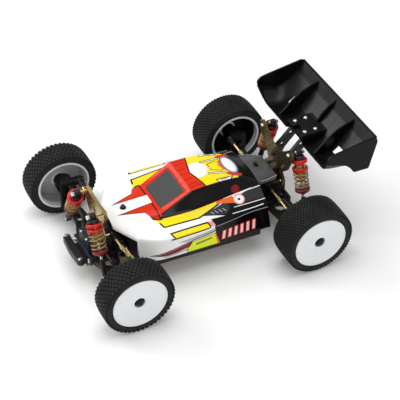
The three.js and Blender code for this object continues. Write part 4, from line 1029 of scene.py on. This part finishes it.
def dress_cad():
    looks = dict(CAD_LOOKS)
    for side in SIDES:
        looks[f"front_knuckle_{side}"] = (PLASTIC, 0.35)
        for end in ENDS:
            looks[f"{end}_arm_{side}"] = (PLASTIC, 0.4)
            looks[f"{end}_hub_carrier_{side}"] = (PLASTIC, 0.35)
            looks[f"{end}_drive_shaft_{side}"] = (BLACK_STEEL, 0.2)
    for node, (material, bevel) in looks.items():
        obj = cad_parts[node]
        obj.data.materials.clear()
        obj.data.materials.append(material)
        for polygon in obj.data.polygons:
            polygon.material_index = 0
        modifier = round_edges(obj, bevel)
        # The gold plates' rounded edges take the brighter turned gold: a painted highlight along their edges.
        if material in (GOLD, GOLD_PAINTED_SHADE):
            obj.data.materials.append(BRIGHT_GOLD)
            modifier.material = 1


# ---------------------------------------------------------------- stage, light and camera
def stage():
    mesh = bpy.data.meshes.new("floor")
    reach = 3.0
    corners = [(-reach, -reach, 0), (reach, -reach, 0), (reach, reach, 0), (-reach, reach, 0)]
    mesh.from_pydata(corners, [], [(0, 1, 2, 3)])
    mesh.materials.append(plain("floor_white", (0.93, 0.93, 0.93), 0.55, vary=0.01, grain=40, bump=0.0))
    floor = bpy.data.objects.new("floor", mesh)
    bpy.context.scene.collection.objects.link(floor)


def area_light(name, position, target, size, power):
    light = bpy.data.lights.new(name, "AREA")
    light.size = size
    light.energy = power
    obj = bpy.data.objects.new(name, light)
    obj.location = position
    obj.rotation_euler = (Vector(target) - Vector(position)).to_track_quat("-Z", "Y").to_euler()
    bpy.context.scene.collection.objects.link(obj)


def lights():
    world = bpy.data.worlds.new("studio")
    world.use_nodes = True
    background = world.node_tree.nodes["Background"]
    background.inputs["Color"].default_value = (1, 1, 1, 1)
    background.inputs["Strength"].default_value = 0.62
    bpy.context.scene.world = world
    car = (0, 0, 0.03)
    area_light("softbox_right", (0.75, -0.85, 0.85), car, 0.8, 9)
    area_light("softbox_above", (0.0, -0.1, 1.4), car, 1.0, 8)
    area_light("softbox_left", (0.2, 1.3, 0.6), car, 0.7, 4)
    bpy.context.scene.view_settings.view_transform = "Standard"


# Found by fitting the tyres' outlines: the place in millimetres, and the roll in degrees.
CAMERA_AT = (427.656, 865.857, 881.414)
CAMERA_FORWARD = (-0.343947, -0.671290, -0.656560)
CAMERA_ROLL = -1.189
CAMERA_LENS = 127.3


def camera():
    data = bpy.data.cameras.new("camera")
    data.lens = CAMERA_LENS
    data.sensor_width = 36
    data.clip_end = 20
    obj = bpy.data.objects.new("camera", data)
    forward = Vector(CAMERA_FORWARD).normalized()
    level = forward.cross(Vector((0, 0, 1))).normalized()
    right = Matrix.Rotation(math.radians(CAMERA_ROLL), 3, forward) @ level
    up = right.cross(forward)
    place = Matrix((right, up, -forward)).transposed().to_4x4()
    place.translation = Vector((CAMERA_AT[0] + MID_X, CAMERA_AT[1], CAMERA_AT[2])) / 1000
    obj.matrix_world = place
    bpy.context.scene.collection.objects.link(obj)
    bpy.context.scene.camera = obj


camera()
stage()
lights()
dress_cad()
body_shell()
shell_details()
for end_name in ENDS:
    for side_name in SIDES:
        tyre(end_name, side_name)
        rim(end_name, side_name)
        shock(end_name, side_name)
links()
wing()
fasteners()
front_bumper()
electrics()
